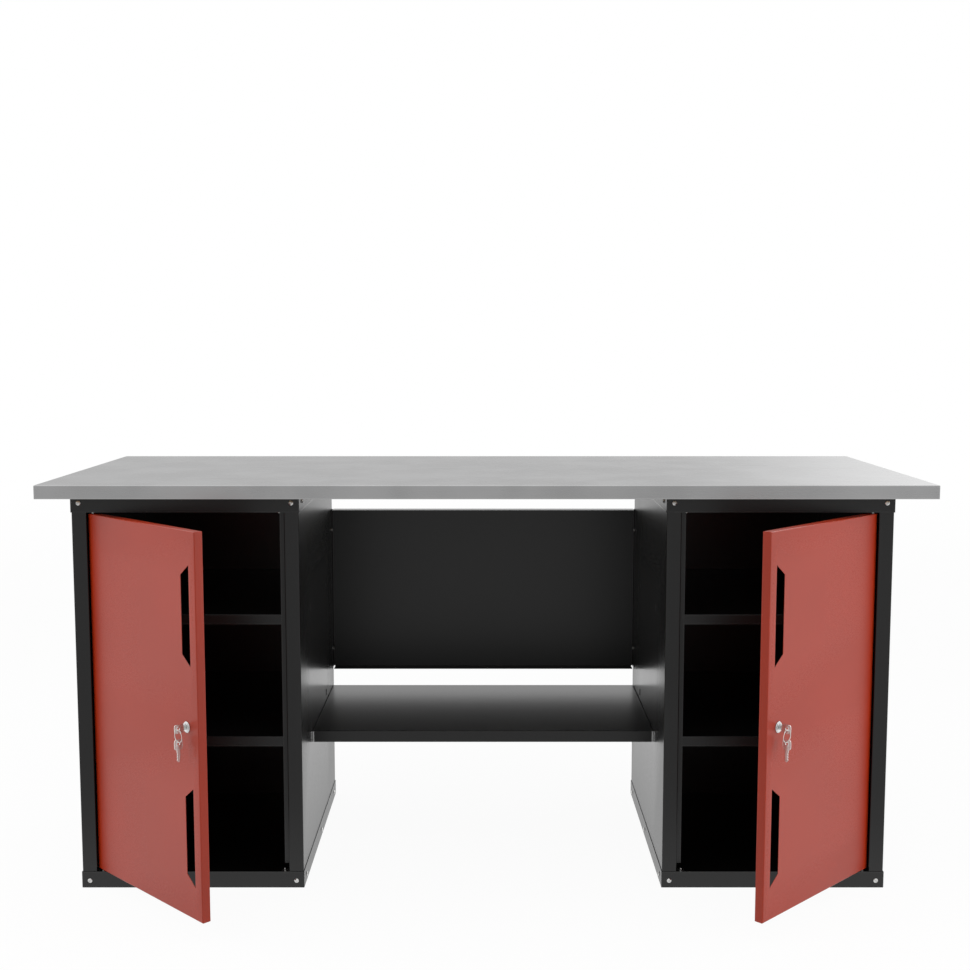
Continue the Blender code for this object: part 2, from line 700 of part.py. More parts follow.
def build_door_panel(name, hinge, paint, mirrored):
    low = (-PIVOT_TO_EDGE, -PIVOT_TO_FACE, DOOR_BOTTOM)
    high = (DOOR_FREE_EDGE, -PIVOT_TO_FACE + DOOR_FLANGE, DOOR_TOP)
    bm = bmesh.new()
    add_tray(bm, low, high, SHEET, axis=1, side=1)
    panel = finish(name, bm, paint, hinge, mirrored=mirrored)

    face = -PIVOT_TO_FACE
    bm = bmesh.new()
    for shift in (-VENT_FROM_MIDDLE, VENT_FROM_MIDDLE):
        outline = vent_outline(DOOR_MIDDLE + shift)
        add_prism(bm, outline, face - OVERSHOOT, face + SHEET + OVERSHOOT, UPRIGHT)
    hole = (LOCK_X, face, DOOR_MIDDLE)
    add_rod(bm, hole, (0, 1, 0), -OVERSHOOT, SHEET + OVERSHOOT, HOUSING_RADIUS + CLEAR, ROUND_SIDES)
    for flange in (DOOR_BOTTOM, DOOR_TOP):
        spread = SHEET + OVERSHOOT
        add_rod(bm, (0, 0, flange), (0, 0, 1), -spread, spread, PIN_RADIUS + CLEAR, ROUND_SIDES // 2)
    combine(panel, bm, "DIFFERENCE", mirrored)


# Lock, in coordinates whose origin is its axis at the door's outer face, +Y into the cabinet

INWARD = frame_at((0, 0, 0), (0, 1, 0))


def build_lock(side_name, hinge, mirrored, looks):
    """The housing and its nut stay on the door. Returns the empty that turns with the plug."""
    axis = (LOCK_X, -PIVOT_TO_FACE, DOOR_MIDDLE)
    bore = PLUG_RADIUS + CLEAR
    front = -CLEAR - ROSETTE_THICKNESS
    profile = [
        (bore, front),
        (ROSETTE_RADIUS - ROSETTE_CHAMFER, front),
        (ROSETTE_RADIUS, front + ROSETTE_CHAMFER),
        (ROSETTE_RADIUS, -CLEAR),
        (HOUSING_RADIUS, -CLEAR),
        (HOUSING_RADIUS, HOUSING_LENGTH),
        (bore, HOUSING_LENGTH),
    ]
    bm = bmesh.new()
    add_turned(bm, profile, ROUND_SIDES, INWARD, closed_loop=True)
    finish(side_name + "_lock_housing", bm, looks["chrome"], hinge, axis, mirrored, smooth=True)

    nut_front = SHEET + CLEAR
    nut_back = nut_front + NUT_THICKNESS
    bm = bmesh.new()
    add_rod(bm, (0, 0, 0), (0, 1, 0), nut_front, nut_back, NUT_RADIUS, NUT_SIDES)
    nut = finish(side_name + "_lock_nut", bm, looks["zinc"], hinge, axis, mirrored)
    bm = bmesh.new()
    bore_radius = HOUSING_RADIUS + CLEAR
    add_rod(bm, (0, 0, 0), (0, 1, 0), nut_front - OVERSHOOT, nut_back + OVERSHOOT, bore_radius, ROUND_SIDES)
    combine(nut, bm, "DIFFERENCE", mirrored)

    turn = make_empty(side_name + "_lock_turn", hinge, axis, mirrored)
    build_plug(side_name, turn, mirrored, looks, front)
    build_cam(side_name, turn, mirrored, looks)
    return turn


def build_plug(side_name, turn, mirrored, looks, front):
    tail_end = CAM_FRONT + CAM_THICKNESS + CLEAR
    bm = bmesh.new()
    add_turned(bm, [
        (PLUG_RADIUS, front),
        (PLUG_RADIUS, CAM_FRONT - CLEAR),
        (PLUG_TAIL_RADIUS, CAM_FRONT - CLEAR),
        (PLUG_TAIL_RADIUS, tail_end),
    ], ROUND_SIDES, INWARD)
    plug = finish(side_name + "_lock_plug", bm, looks["chrome"], turn, mirrored=mirrored, smooth=True)

    bm = bmesh.new()
    half_thick = KEY_THICKNESS / 2 + CLEAR
    half_wide = KEY_BLADE_WIDTH / 2 + CLEAR
    slot_end = KEY_BLADE_LENGTH - KEY_STANDOFF + CLEAR
    add_box(bm, (-half_thick, front - OVERSHOOT, -half_wide), (half_thick, slot_end, half_wide))
    screw_tip = tail_end - CAM_SCREW_LENGTH
    add_rod(bm, (0, 0, 0), (0, 1, 0), screw_tip, tail_end + OVERSHOOT, CAM_SCREW_RADIUS + CLEAR, SCREW_SIDES)
    combine(plug, bm, "DIFFERENCE", mirrored)


def build_cam(side_name, turn, mirrored, looks):
    """A tongue that hangs down while unlocked; a quarter turn takes it behind the stop lip."""
    arm = CAM_LENGTH - CAM_TIP_RADIUS
    outline = []
    steps = ROUND_SIDES // 2
    for step in range(steps + 1):
        angle = math.pi * step / steps
        outline.append((CAM_RADIUS * math.cos(angle), CAM_RADIUS * math.sin(angle)))
    for step in range(steps // 2 + 1):
        angle = math.pi + math.pi * step / (steps // 2)
        outline.append((CAM_TIP_RADIUS * math.cos(angle), CAM_TIP_RADIUS * math.sin(angle) - arm))
    bm = bmesh.new()
    add_prism(bm, outline, CAM_FRONT, CAM_FRONT + CAM_THICKNESS, UPRIGHT)
    cam = finish(side_name + "_lock_cam", bm, looks["zinc"], turn, mirrored=mirrored)
    bm = bmesh.new()
    far = CAM_FRONT + CAM_THICKNESS + OVERSHOOT
    add_rod(bm, (0, 0, 0), (0, 1, 0), CAM_FRONT - OVERSHOOT, far, PLUG_TAIL_RADIUS + CLEAR, ROUND_SIDES)
    combine(cam, bm, "DIFFERENCE", mirrored)

    seat = CAM_FRONT + CAM_THICKNESS + 2 * CLEAR
    shank = [(CAM_SCREW_RADIUS, seat - CAM_SCREW_LENGTH), (CAM_SCREW_RADIUS, seat)]
    head = dome(CAM_SCREW_HEAD_RADIUS, CAM_SCREW_HEAD_HEIGHT, seat)
    bm = bmesh.new()
    add_turned(bm, shank + head, SCREW_SIDES, INWARD)
    finish(side_name + "_cam_screw", bm, looks["zinc"], turn, mirrored=mirrored, smooth=True)


# Keys

def key_outline():
    """A key lying along +x from its hole: the bow is an oval round it, and the blade has notches."""
    half_length = KEY_BOW_LENGTH / 2
    half_width = KEY_BOW_WIDTH / 2
    half_blade = KEY_BLADE_WIDTH / 2
    bow_centre = half_length - KEY_HOLE_TO_END
    join = math.asin(half_blade / half_width)
    outline = []
    for step in range(KEY_BOW_STEPS + 1):
        angle = join + (2 * math.pi - 2 * join) * step / KEY_BOW_STEPS
        outline.append((bow_centre + half_length * math.cos(angle), half_width * math.sin(angle)))
    shoulder = KEY_BOW_LENGTH - KEY_HOLE_TO_END
    tip = shoulder + KEY_BLADE_LENGTH
    pitch = KEY_BLADE_LENGTH / (KEY_NOTCHES + 2)
    for notch in range(1, KEY_NOTCHES + 1):
        outline.append((shoulder + pitch * notch, -half_blade))
        outline.append((shoulder + pitch * (notch + 0.5), -half_blade + KEY_NOTCH_DEPTH))
    outline.append((tip - half_blade, -half_blade))
    outline.append((tip, 0.0))
    outline.append((tip - half_blade, half_blade))
    return outline


def build_key(name, parent, steel, mirrored, along, across, at):
    """A key with its hole at a place, its blade along one direction and its width across another."""
    along = Vector(along)
    across = Vector(across)
    frame = Matrix((along, across, along.cross(across))).transposed().to_4x4()
    frame.translation = at
    bm = bmesh.new()
    add_prism(bm, key_outline(), -KEY_THICKNESS / 2, KEY_THICKNESS / 2, frame)
    key = finish(name, bm, steel, parent, mirrored=mirrored)
    bm = bmesh.new()
    hole = [(KEY_HOLE_RADIUS, -KEY_THICKNESS), (KEY_HOLE_RADIUS, KEY_THICKNESS)]
    add_turned(bm, hole, KEY_HOLE_SIDES, frame)
    combine(key, bm, "DIFFERENCE", mirrored)


def build_keys(side_name, turn, mirrored, looks):
    """The key in the lock, the ring through its hole and the spare key on the ring."""
    hole = (0.0, -KEY_HOLE_OUT, 0.0)
    slide = make_empty(side_name + "_key_slide", turn)
    build_key(side_name + "_key", slide, looks["nickel"], mirrored, (0, 1, 0), (0, 0, 1), hole)

    ring_swing = make_empty(side_name + "_ring_swing", slide, (0.0, hole[1], -RING_DROP), mirrored)
    wire = []
    for step in range(RING_WIRE_SIDES):
        angle = 2 * math.pi * step / RING_WIRE_SIDES
        wire.append((RING_RADIUS + RING_WIRE_RADIUS * math.cos(angle), RING_WIRE_RADIUS * math.sin(angle)))
    bm = bmesh.new()
    add_turned(bm, wire, RING_STEPS, frame_at((0, 0, -RING_RADIUS), (0, 1, 0)), closed_loop=True)
    finish(side_name + "_key_ring", bm, looks["nickel"], ring_swing, mirrored=mirrored, smooth=True)

    ring_foot = (0.0, 0.0, -2 * RING_RADIUS)
    spare_hole = (0.0, 0.0, -RING_DROP)
    spare_swing = make_empty(side_name + "_spare_key_swing", ring_swing, ring_foot, mirrored)
    build_key(side_name + "_spare_key", spare_swing, looks["nickel"], mirrored, (0, 0, -1), (0, 1, 0), spare_hole)


def build_cabinet(side_name, bench, centre, mirrored, looks):
    cabinet = make_empty(side_name + "_cabinet", bench, (centre, 0.0, 0.0))
    paint = looks["black"]
    build_tray(side_name + "_top_tray", cabinet, paint, mirrored, top=True)
    build_tray(side_name + "_bottom_tray", cabinet, paint, mirrored, top=False)
    build_side_panel(side_name + "_outer_side_panel", cabinet, paint, mirrored, -1)
    build_side_panel(side_name + "_inner_side_panel", cabinet, paint, mirrored, 1)
    build_back_panel(side_name + "_back_panel", cabinet, paint, mirrored)
    build_shelf(side_name + "_upper_shelf", cabinet, paint, mirrored, UPPER_SHELF_HEIGHT)
    build_shelf(side_name + "_lower_shelf", cabinet, paint, mirrored, LOWER_SHELF_HEIGHT)
    for label, side, spindle in (("hinge", -1, True), ("spare_hinge", 1, False)):
        for level, upper in (("lower", False), ("upper", True)):
            name = "_".join((side_name, level, label))
            build_pivot(name, cabinet, looks["zinc"], mirrored, side, upper, spindle)

    at = (PIVOT_X, PIVOT_SETBACK, 0.0)
    hinge = make_empty(side_name + "_door_hinge", cabinet, at, mirrored, -DOOR_OPEN_ANGLE)
    build_door_panel(side_name + "_door_panel", hinge, looks["red"], mirrored)
    turn = build_lock(side_name, hinge, mirrored, looks)
    build_keys(side_name, turn, mirrored, looks)


# Between the cabinets

def build_middle_shelf(bench, paint):
    """A shelf with four lips down. The front and back lips stop short of the cabinets."""
    place = (SPAN_CENTRE, MIDDLE_SHELF_SETBACK, MIDDLE_SHELF_HEIGHT)
    bm = bmesh.new()
    low = (-SPAN_HALF, 0.0, -MIDDLE_SHELF_LIP)
    add_tray(bm, low, (SPAN_HALF, MIDDLE_SHELF_DEPTH, 0.0), SHEET, axis=2, side=0)
    shelf = finish("middle_shelf", bm, paint, bench, place)

    bm = bmesh.new()
    fold = SHEET + FOLD_RADIUS
    for side in (-1, 1):
        across = sorted((side * (SPAN_HALF + OVERSHOOT), side * (SPAN_HALF - LIP_RELIEF)))
        for front, back in ((-OVERSHOOT, fold), (MIDDLE_SHELF_DEPTH - fold, MIDDLE_SHELF_DEPTH + OVERSHOOT)):
            add_box(bm, (across[0], front, low[2] - OVERSHOOT), (across[1], back, -fold))
    add_screw_holes(bm, span_seats(middle_shelf_places(), place))
    combine(shelf, bm, "DIFFERENCE")


def build_modesty_panel(bench, paint):
    """A panel with four flanges forward. The top and bottom flanges stop short of the cabinets."""
    place = (SPAN_CENTRE, MODESTY_FRONT, MODESTY_BOTTOM)
    bm = bmesh.new()
    add_tray(bm, (-SPAN_HALF, 0.0, 0.0), (SPAN_HALF, MODESTY_FLANGE, MODESTY_HEIGHT), SHEET, axis=1, side=0)
    panel = finish("modesty_panel", bm, paint, bench, place)

    bm = bmesh.new()
    fold = SHEET + FOLD_RADIUS
    for side in (-1, 1):
        across = sorted((side * (SPAN_HALF + OVERSHOOT), side * (SPAN_HALF - LIP_RELIEF)))
        for low, high in ((-OVERSHOOT, fold), (MODESTY_HEIGHT - fold, MODESTY_HEIGHT + OVERSHOOT)):
            add_box(bm, (across[0], -OVERSHOOT, low), (across[1], MODESTY_FLANGE - fold, high))
    add_screw_holes(bm, span_seats(modesty_places(), place))
    combine(panel, bm, "DIFFERENCE")


def main():
    clear_scene()
    looks = {
        "black": make_material("black_powder_coat", (0.028, 0.028, 0.029), 0.45, 0.0),
        "red": make_material("red_powder_coat", (0.42, 0.035, 0.02), 0.38, 0.0),
        "steel": make_material("galvanised_steel", (0.46, 0.46, 0.45), 0.35, 1.0),
        "board": make_material("chipboard", (0.42, 0.30, 0.17), 0.8, 0.0),
        "zinc": make_material("zinc_plate", (0.72, 0.72, 0.70), 0.3, 1.0),
        "chrome": make_material("chrome_plate", (0.80, 0.80, 0.80), 0.15, 1.0),
        "nickel": make_material("nickel_plate", (0.74, 0.72, 0.67), 0.22, 1.0),
    }
    bench = make_empty("bench", at=(0.0, FRONT_Y, 0.0))
    build_worktop(bench, looks["steel"], looks["board"])
    build_cabinet("left", bench, LEFT_CENTRE, False, looks)
    build_cabinet("right", bench, RIGHT_CENTRE, True, looks)
    build_middle_shelf(bench, looks["black"])
    build_modesty_panel(bench, looks["black"])


main()
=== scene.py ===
"""Looks of a double pedestal workbench: folded sheets, fittings, finishes and studio round its CAD model.

Metres, +X to the right, +Y to the back, +Z up. Every piece is worked out in place, in the CAD model's frame.
A cabinet is worked out as the left one, whose door hinges at -X; the right one is its mirror image.
"""
import json
import math

import bmesh
import bpy
import numpy as np
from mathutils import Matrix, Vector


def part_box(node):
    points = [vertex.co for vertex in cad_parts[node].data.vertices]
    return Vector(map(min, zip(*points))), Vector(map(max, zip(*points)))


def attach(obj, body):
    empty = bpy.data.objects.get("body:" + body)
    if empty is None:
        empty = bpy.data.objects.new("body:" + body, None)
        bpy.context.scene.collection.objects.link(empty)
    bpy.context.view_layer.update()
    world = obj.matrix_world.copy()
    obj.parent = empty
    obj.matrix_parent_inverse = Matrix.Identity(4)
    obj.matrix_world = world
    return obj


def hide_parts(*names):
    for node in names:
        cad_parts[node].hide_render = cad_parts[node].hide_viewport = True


bl_info = {
    "name": "Double Pedestal Workbench",
    "version": (1, 0, 0),
    "blender": (4, 5, 0),
    "location": "3D Viewport > Sidebar > Workbench",
    "description": "Folds the sheets and makes the fittings and finishes of a double pedestal workbench",
    "category": "Add Mesh",
}

MM = 0.001
TINY = 1e-9
SIDES = ("left", "right")
FRAME = "bench_frame"

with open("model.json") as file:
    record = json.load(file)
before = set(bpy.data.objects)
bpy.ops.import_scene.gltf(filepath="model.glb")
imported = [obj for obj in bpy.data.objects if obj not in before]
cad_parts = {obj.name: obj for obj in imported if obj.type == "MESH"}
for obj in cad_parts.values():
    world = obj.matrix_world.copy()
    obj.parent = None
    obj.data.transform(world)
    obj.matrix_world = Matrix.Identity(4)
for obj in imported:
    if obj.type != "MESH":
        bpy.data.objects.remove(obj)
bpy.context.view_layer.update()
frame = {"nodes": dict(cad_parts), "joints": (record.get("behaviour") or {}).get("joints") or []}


def node_box(name):
    low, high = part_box(name)
    return np.array(low), np.array(high)


# Places and main sizes, read from the frame
FOOT = {side: node_box(side + "_bottom_tray") for side in SIDES}
CENTRE = {side: (low[0] + high[0]) / 2 for side, (low, high) in FOOT.items()}
FRONT_Y = FOOT["left"][0][1]
HALF_CABINET = (FOOT["left"][1][0] - FOOT["left"][0][0]) / 2
CABINET_DEPTH = FOOT["left"][1][1] - FRONT_Y
TRAY_LIP = FOOT["left"][1][2]
JOINT_AT = {joint["name"]: np.array(joint.get("pos_m", (0, 0, 0)), float) for joint in frame["joints"]}
PIVOT_X = JOINT_AT["left_door_hinge"][0] - CENTRE["left"]
PIVOT_SETBACK = JOINT_AT["left_door_hinge"][1] - FRONT_Y

# Sizes that the pieces share with the CAD model
CLEAR = 0.3 * MM
WORKTOP_SKIN = 1.5 * MM
SHEET = 1.0 * MM
HALF_OPENING = 201.7 * MM
STOP_DEPTH = 24.0 * MM
STOP_WIDTH = 12.0 * MM
STOP_NOTCH = 9.7 * MM
BACK_FLANGE = 25.0 * MM
SHELF_SETBACK = 30.0 * MM
SHELF_BACK_GAP = 4.0 * MM
SHELF_LIP = 21.2 * MM
TAB_PLACES = (153.0 * MM, 433.0 * MM)
TAB_SIZE = (2.0 * MM, 15.4 * MM)
TAB_PROUD = 1.1 * MM
SLOT_SIZE = (3.0 * MM, 16.0 * MM)
DOOR_BOTTOM = node_box("left_door_panel")[0][2]
DOOR_TOP_GAP = 38.5 * MM
DOOR_FLANGE = 17.7 * MM
DOOR_TURN = math.radians(45.0)
PIVOT_TO_EDGE = 5.0 * MM
PIVOT_TO_FACE = 8.0 * MM
DOOR_FREE_EDGE = 385.0 * MM
VENT_EDGES = (335.0 * MM, 363.5 * MM)
VENT_HALVES = (76.3 * MM, 97.5 * MM)
VENT_FROM_MIDDLE = 214.9 * MM
LOCK_X = 346.4 * MM
LOCK_HOLE = 8.3 * MM
PANEL_INSET = SHEET + CLEAR
PANEL_FACE = HALF_CABINET - PANEL_INSET
CABINET_HEIGHT = node_box("worktop_skin")[0][2] - CLEAR
PANEL_TOP = CABINET_HEIGHT - PANEL_INSET
DOOR_TOP = CABINET_HEIGHT - DOOR_TOP_GAP
DOOR_MIDDLE = (DOOR_BOTTOM + DOOR_TOP) / 2
SHELF_TOPS = {level: node_box(f"left_{level}_shelf")[1][2] for level in ("lower", "upper")}

PIN_RADIUS = 2.0 * MM
PIN_SHOULDER = 3.25 * MM
BRACKET_SHEET = 1.5 * MM
BRACKET_WIDTH = 45.0 * MM
BRACKET_PAST_PIN = 8.0 * MM
BRACKET_DEPTH = 19.0 * MM
BRACKET_FOOT = 3.0 * MM
BRACKET_TOP = TRAY_LIP - 2.3 * MM
SCREW_HEAD = 4.75 * MM
SCREW_SHANK = 2.5 * MM
FRONT_SCREW_INSET = 16.5 * MM
SCREW_FROM_END = 15.9 * MM
SCREW_LEVELS = (SCREW_FROM_END, CABINET_HEIGHT - SCREW_FROM_END)
SIDE_SCREW_INSET = 37.0 * MM
CAM_FRONT = 22.0 * MM
CAM_THICKNESS = 2.0 * MM
KEY_HOLE_OUT = 19.4 * MM
KEY_HALF_THICKNESS = 1.0 * MM
KEY_BOW = (20.6 * MM, 18.0 * MM)
KEY_BLADE = (23.5 * MM, 7.8 * MM)
KEY_HOLE_RADIUS = 3.0 * MM
KEY_HOLE_TO_END = 8.2 * MM
RING_RADIUS = 12.0 * MM
RING_WIRE = 0.75 * MM
RING_DROP = 1.95 * MM


# Placing

def axes(x_to, y_to, z_to, at=(0.0, 0.0, 0.0)):
    """A matrix that takes the local axes to three directions and the origin to a place."""
    matrix = np.eye(4)
    matrix[:3, :3] = np.array([x_to, y_to, z_to], float).T
    matrix[:3, 3] = at
    return matrix


def shift(x=0.0, y=0.0, z=0.0):
    return axes((1, 0, 0), (0, 1, 0), (0, 0, 1), (x, y, z))


def aimed(place, axis):
    """A matrix that takes +Z to a direction, keeps +X level, and takes the origin to a place."""
    axis = unit(np.array(axis, float))
    level = np.array([-axis[1], axis[0], 0.0])
    across = unit(level) if level.any() else np.array([1.0, 0.0, 0.0])
    return axes(across, np.cross(axis, across), axis, place)


COSINE, SINE = math.cos(DOOR_TURN), math.sin(DOOR_TURN)
MIRROR = axes((-1, 0, 0), (0, 1, 0), (0, 0, 1))
CABINETS = {"left": shift(CENTRE["left"], FRONT_Y), "right": shift(CENTRE["right"], FRONT_Y) @ MIRROR}
IN_CABINET = axes((COSINE, -SINE, 0), (SINE, COSINE, 0), (0, 0, 1), (PIVOT_X, PIVOT_SETBACK, 0))
DOORS = {side: CABINETS[side] @ IN_CABINET for side in SIDES}
LOCKS = {side: DOORS[side] @ shift(LOCK_X, -PIVOT_TO_FACE, DOOR_MIDDLE) for side in SIDES}
INTO_LOCKS = {side: LOCKS[side] @ axes((1, 0, 0), (0, 0, -1), (0, 1, 0)) for side in SIDES}
SIDEWAYS = axes((0, 1, 0), (0, 0, 1), (1, 0, 0))
UPRIGHT = shift()
UPSIDE_DOWN = axes((1, 0, 0), (0, 1, 0), (0, 0, -1))


# Shapes: each is an array of points and an array of four-sided faces

def lattice(points, keep=None, wrap=False):
    """Faces between the neighbouring points of a grid. keep marks the cells that stay, and wrap joins the
    last column to the first. A face looks along (next column) x (next row)."""
    rows, columns = points.shape[:2]
    index = np.arange(rows * columns).reshape(rows, columns)
    if wrap:
        index = np.hstack([index, index[:, :1]])
    faces = np.stack([index[:-1, :-1], index[:-1, 1:], index[1:, 1:], index[1:, :-1]], axis=-1)
    faces = faces.reshape(-1, 4) if keep is None else faces[keep]
    return points.reshape(-1, 3), faces


def grid(x, y, z):
    """Points from three coordinates, each spread over the whole grid."""
    return np.stack(np.broadcast_arrays(x, y, z), axis=-1)


def round_angles(count):
    """Angles evenly spaced round a circle, without the last, which is the first again."""
    return np.linspace(0.0, 2 * math.pi, count, endpoint=False)


def round_z(reach, angle, height):
    """Rings of points round z, joined up, from each point's distance, angle and height."""
    return lattice(grid(reach * np.cos(angle), reach * np.sin(angle), height), wrap=True)


def together(*shapes):
    starts = np.cumsum([0] + [len(points) for points, faces in shapes[:-1]])
    faces = [shape[1] + start for shape, start in zip(shapes, starts)]
    return np.vstack([points for points, faces in shapes]), np.vstack(faces)


def moved(shape, matrix):
    """A shape carried by a matrix. One that mirrors it also turns its faces round."""
    points, faces = shape
    carried = points @ matrix[:3, :3].T + matrix[:3, 3]
    return carried, (faces[:, ::-1] if np.linalg.det(matrix[:3, :3]) < 0 else faces)


def unit(vectors):
    return vectors / np.linalg.norm(vectors, axis=-1, keepdims=True)


def folded_lines(half, lip, sheet, inner=()):
    """The lines across a folded plate, from one lip's edge to the other's: their places along it, their
    drops below it, and their swells. Over a bend turned by the angle a, the place and the swell grow by
    radius * sin(a) and the drop by radius * (1 - cos(a))."""
    radius, ease = sheet.fold_radius, sheet.edge_ease
    angle = np.linspace(0.0, math.pi / 2, sheet.fold_steps + 1)
    flat = half - radius
    swell = radius * np.sin(angle)
    drop = radius * (1 - np.cos(angle))
    hang = np.array([radius + ease, lip - ease, lip])
    inner = np.concatenate([[ease - flat], inner, [flat - ease]])
    place = np.concatenate([flat + swell, np.full(3, half)])
    drop = np.concatenate([drop, hang])
    swell = np.concatenate([swell, np.full(3, radius)])
    none = np.zeros(len(inner))
    return (
        np.concatenate([-place[::-1], inner, place]),
        np.concatenate([drop[::-1], none, drop]),
        np.concatenate([swell[::-1], none, swell]),
    )


def tray(half_x, half_y, lip, sheet, short_x=0.0, short_y=0.0, inner_x=(), inner_y=(), warp=None, hole=None):
    """A plate facing +Z with four lips down, as one grid of lines both ways. A lip widens by its bend's swell
    until it reaches the corner, less what it is cut short by. warp moves the plate's points, and hole marks
    the cells left out from the middle of each cell."""
    x, drop_x, swell_x = folded_lines(half_x, lip, sheet, inner_x)
    y, drop_y, swell_y = folded_lines(half_y, lip, sheet, inner_y)
    radius = sheet.fold_radius
    grow_x = 1 + swell_y / radius * (radius - short_x) / (half_x - radius)
    grow_y = 1 + swell_x / radius * (radius - short_y) / (half_y - radius)
    across = x[None, :] * grow_x[:, None]
    along = y[:, None] * grow_y[None, :]
    flat_x = (swell_x[1:] == 0) & (swell_x[:-1] == 0)
    flat_y = (swell_y[1:] == 0) & (swell_y[:-1] == 0)
    keep = flat_y[:, None] | flat_x[None, :]
    if hole:
        keep &= ~hole(*np.meshgrid((x[1:] + x[:-1]) / 2, (y[1:] + y[:-1]) / 2))
    if warp:
        across, along = warp(across, along)
    return lattice(grid(across, along, -(drop_x[None, :] + drop_y[:, None])), keep)


def tray_in_box(name, sheet, relief=0.0, turn=UPRIGHT):
    """A tray that fills a CAD node's box, turned from facing +Z. Its lips along x end short of the corners by
    the relief."""
    low, high = node_box(name)
    half_x, half_y, half_z = np.abs((high - low) / 2 @ turn[:3, :3])
    shape = tray(half_x, half_y, 2 * half_z, sheet, short_x=relief)
    return moved(shape, shift(*(high + low) / 2) @ turn @ shift(z=half_z))


def rounded_path(corners, radii, steps, ease):
    """A polyline whose corners are arcs. An arc's points lie between its two end radii, each weighed by the
    sine of its share of the sweep. A point a little before and after each arc keeps the flat parts flat."""
    corners, radii = np.asarray(corners, float), np.asarray(radii, float)[:, None]
    joint = corners[1:-1]
    back, ahead = unit(corners[:-2] - joint), unit(corners[2:] - joint)
    half = np.arccos((back * ahead).sum(axis=1, keepdims=True)) / 2
    reach = radii / np.tan(half)
    start, end = joint + back * reach, joint + ahead * reach
    middle = joint + unit(back + ahead) * radii / np.sin(half)
    sweep = (math.pi - 2 * half)[:, :, None]
    share = np.linspace(0.0, 1.0, steps + 1)[:, None]
    arcs = (start - middle)[:, None] * np.sin((1 - share) * sweep)
    arcs = arcs + (end - middle)[:, None] * np.sin(share * sweep)
    arcs = middle[:, None] + arcs / np.sin(sweep)
    eased = np.concatenate([(start + back * ease)[:, None], arcs, (end + ahead * ease)[:, None]], axis=1)
    head = corners[0] + unit(corners[1] - corners[0]) * ease
    tail = corners[-1] + unit(corners[-2] - corners[-1]) * ease
    return np.vstack([corners[0], head, eased.reshape(-1, 2), tail, corners[-1]])


def carried(path, heights, keep=None):
    """A path in the xy plane carried up z. It faces to the right of the way the path runs."""
    return lattice(grid(path[:, 0], path[:, 1], np.asarray(heights, float)[:, None]), keep)


def turned(profile, sides, closed=False):
    """A profile (radius, height) spun round z. It runs from the lower pole outwards and up to the upper
    pole, or round a ring's section, out and up first."""
    profile = np.asarray(profile, float)
    if closed:
        profile = np.vstack([profile, profile[:1]])
    return round_z(profile[:, :1], round_angles(sides), profile[:, 1:])


def softened(profile, radius, steps=3):
    """A profile with its inner corners rounded by arcs of one radius."""
    return rounded_path(profile, [radius] * (len(profile) - 2), steps, 0.0)


def open_round(x, y, centre, block, ring, radius):
    """Bends the lines round a hole: the square whose half side is ring goes to the circle, and the lines out
    to the half side block ease back to straight."""
    out_x, out_y = x - centre[0], y - centre[1]
    reach = np.maximum(np.abs(out_x), np.abs(out_y))
    away = np.maximum(np.hypot(out_x, out_y), TINY)
    share = np.clip((block - reach) / (block - ring), 0.0, 1.0) * (reach >= ring - TINY)
    scale = 1 + share * (radius / away - 1)
    return centre[0] + out_x * scale, centre[1] + out_y * scale


def screw(length, fittings):
    """A pan head screw with a cross recess, facing +Z, its seat at height 0. The head is a square grid eased
    to a disc: straight lines in the middle, circles at the rim. Its height is a dome's, 1 - (r / R)^2.6, less
    the recess, which is half as deep at its arms' ends as at its middle."""
    arm, recess = fittings.recess_width / 2, fittings.recess_radius
    wall, block, dome_power = arm * 1.35, recess * 1.12, 2.6
    lines = np.array([0, arm, wall, recess * 0.6, recess, block, 3.3 * MM, 4.1 * MM, SCREW_HEAD])
    lines = np.concatenate([-lines[:0:-1], lines])
    x, y = np.meshgrid(lines, lines)
    reach = np.maximum(np.abs(x), np.abs(y))
    least = np.minimum(np.abs(x), np.abs(y))
    cross = (least <= arm + TINY) & (reach <= recess + TINY)
    share = np.clip((reach - block) / (SCREW_HEAD - block), 0.0, 1.0)
    scale = 1 + share * (reach / np.maximum(np.hypot(x, y), TINY) - 1)
    x, y = x * scale, y * scale
    away = np.minimum(np.hypot(x, y) / SCREW_HEAD, 1.0)
    rim = fittings.head_rim
    height = rim + (fittings.head_height - rim) * (1 - away ** dome_power)
    height = height - cross * fittings.recess_depth * (1 - 0.5 * reach / recess)
    head = grid(x, y, height)
    loop = np.concatenate([head[0, :-1], head[:-1, -1], head[-1, :0:-1], head[:0:-1, 0]])
    shank, point = SCREW_SHANK / SCREW_HEAD, 0.8 * MM
    scales = np.array([1, 1, shank, shank, 0.6 * shank, 0])[::-1, None]
    drops = np.array([rim, 0.0, 0.0, point - length, -length, -length])[::-1, None]
    below = lattice(grid(loop[:, 0] * scales, loop[:, 1] * scales, drops), wrap=True)
    return together(lattice(head), below)


def screws(seats, length, fittings):
    """Screws whose heads stand just clear of their seats (place, outward axis)."""
    one = screw(length, fittings)
    return together(*[moved(one, aimed(place, axis) @ shift(z=CLEAR)) for place, axis in seats])


# Pieces

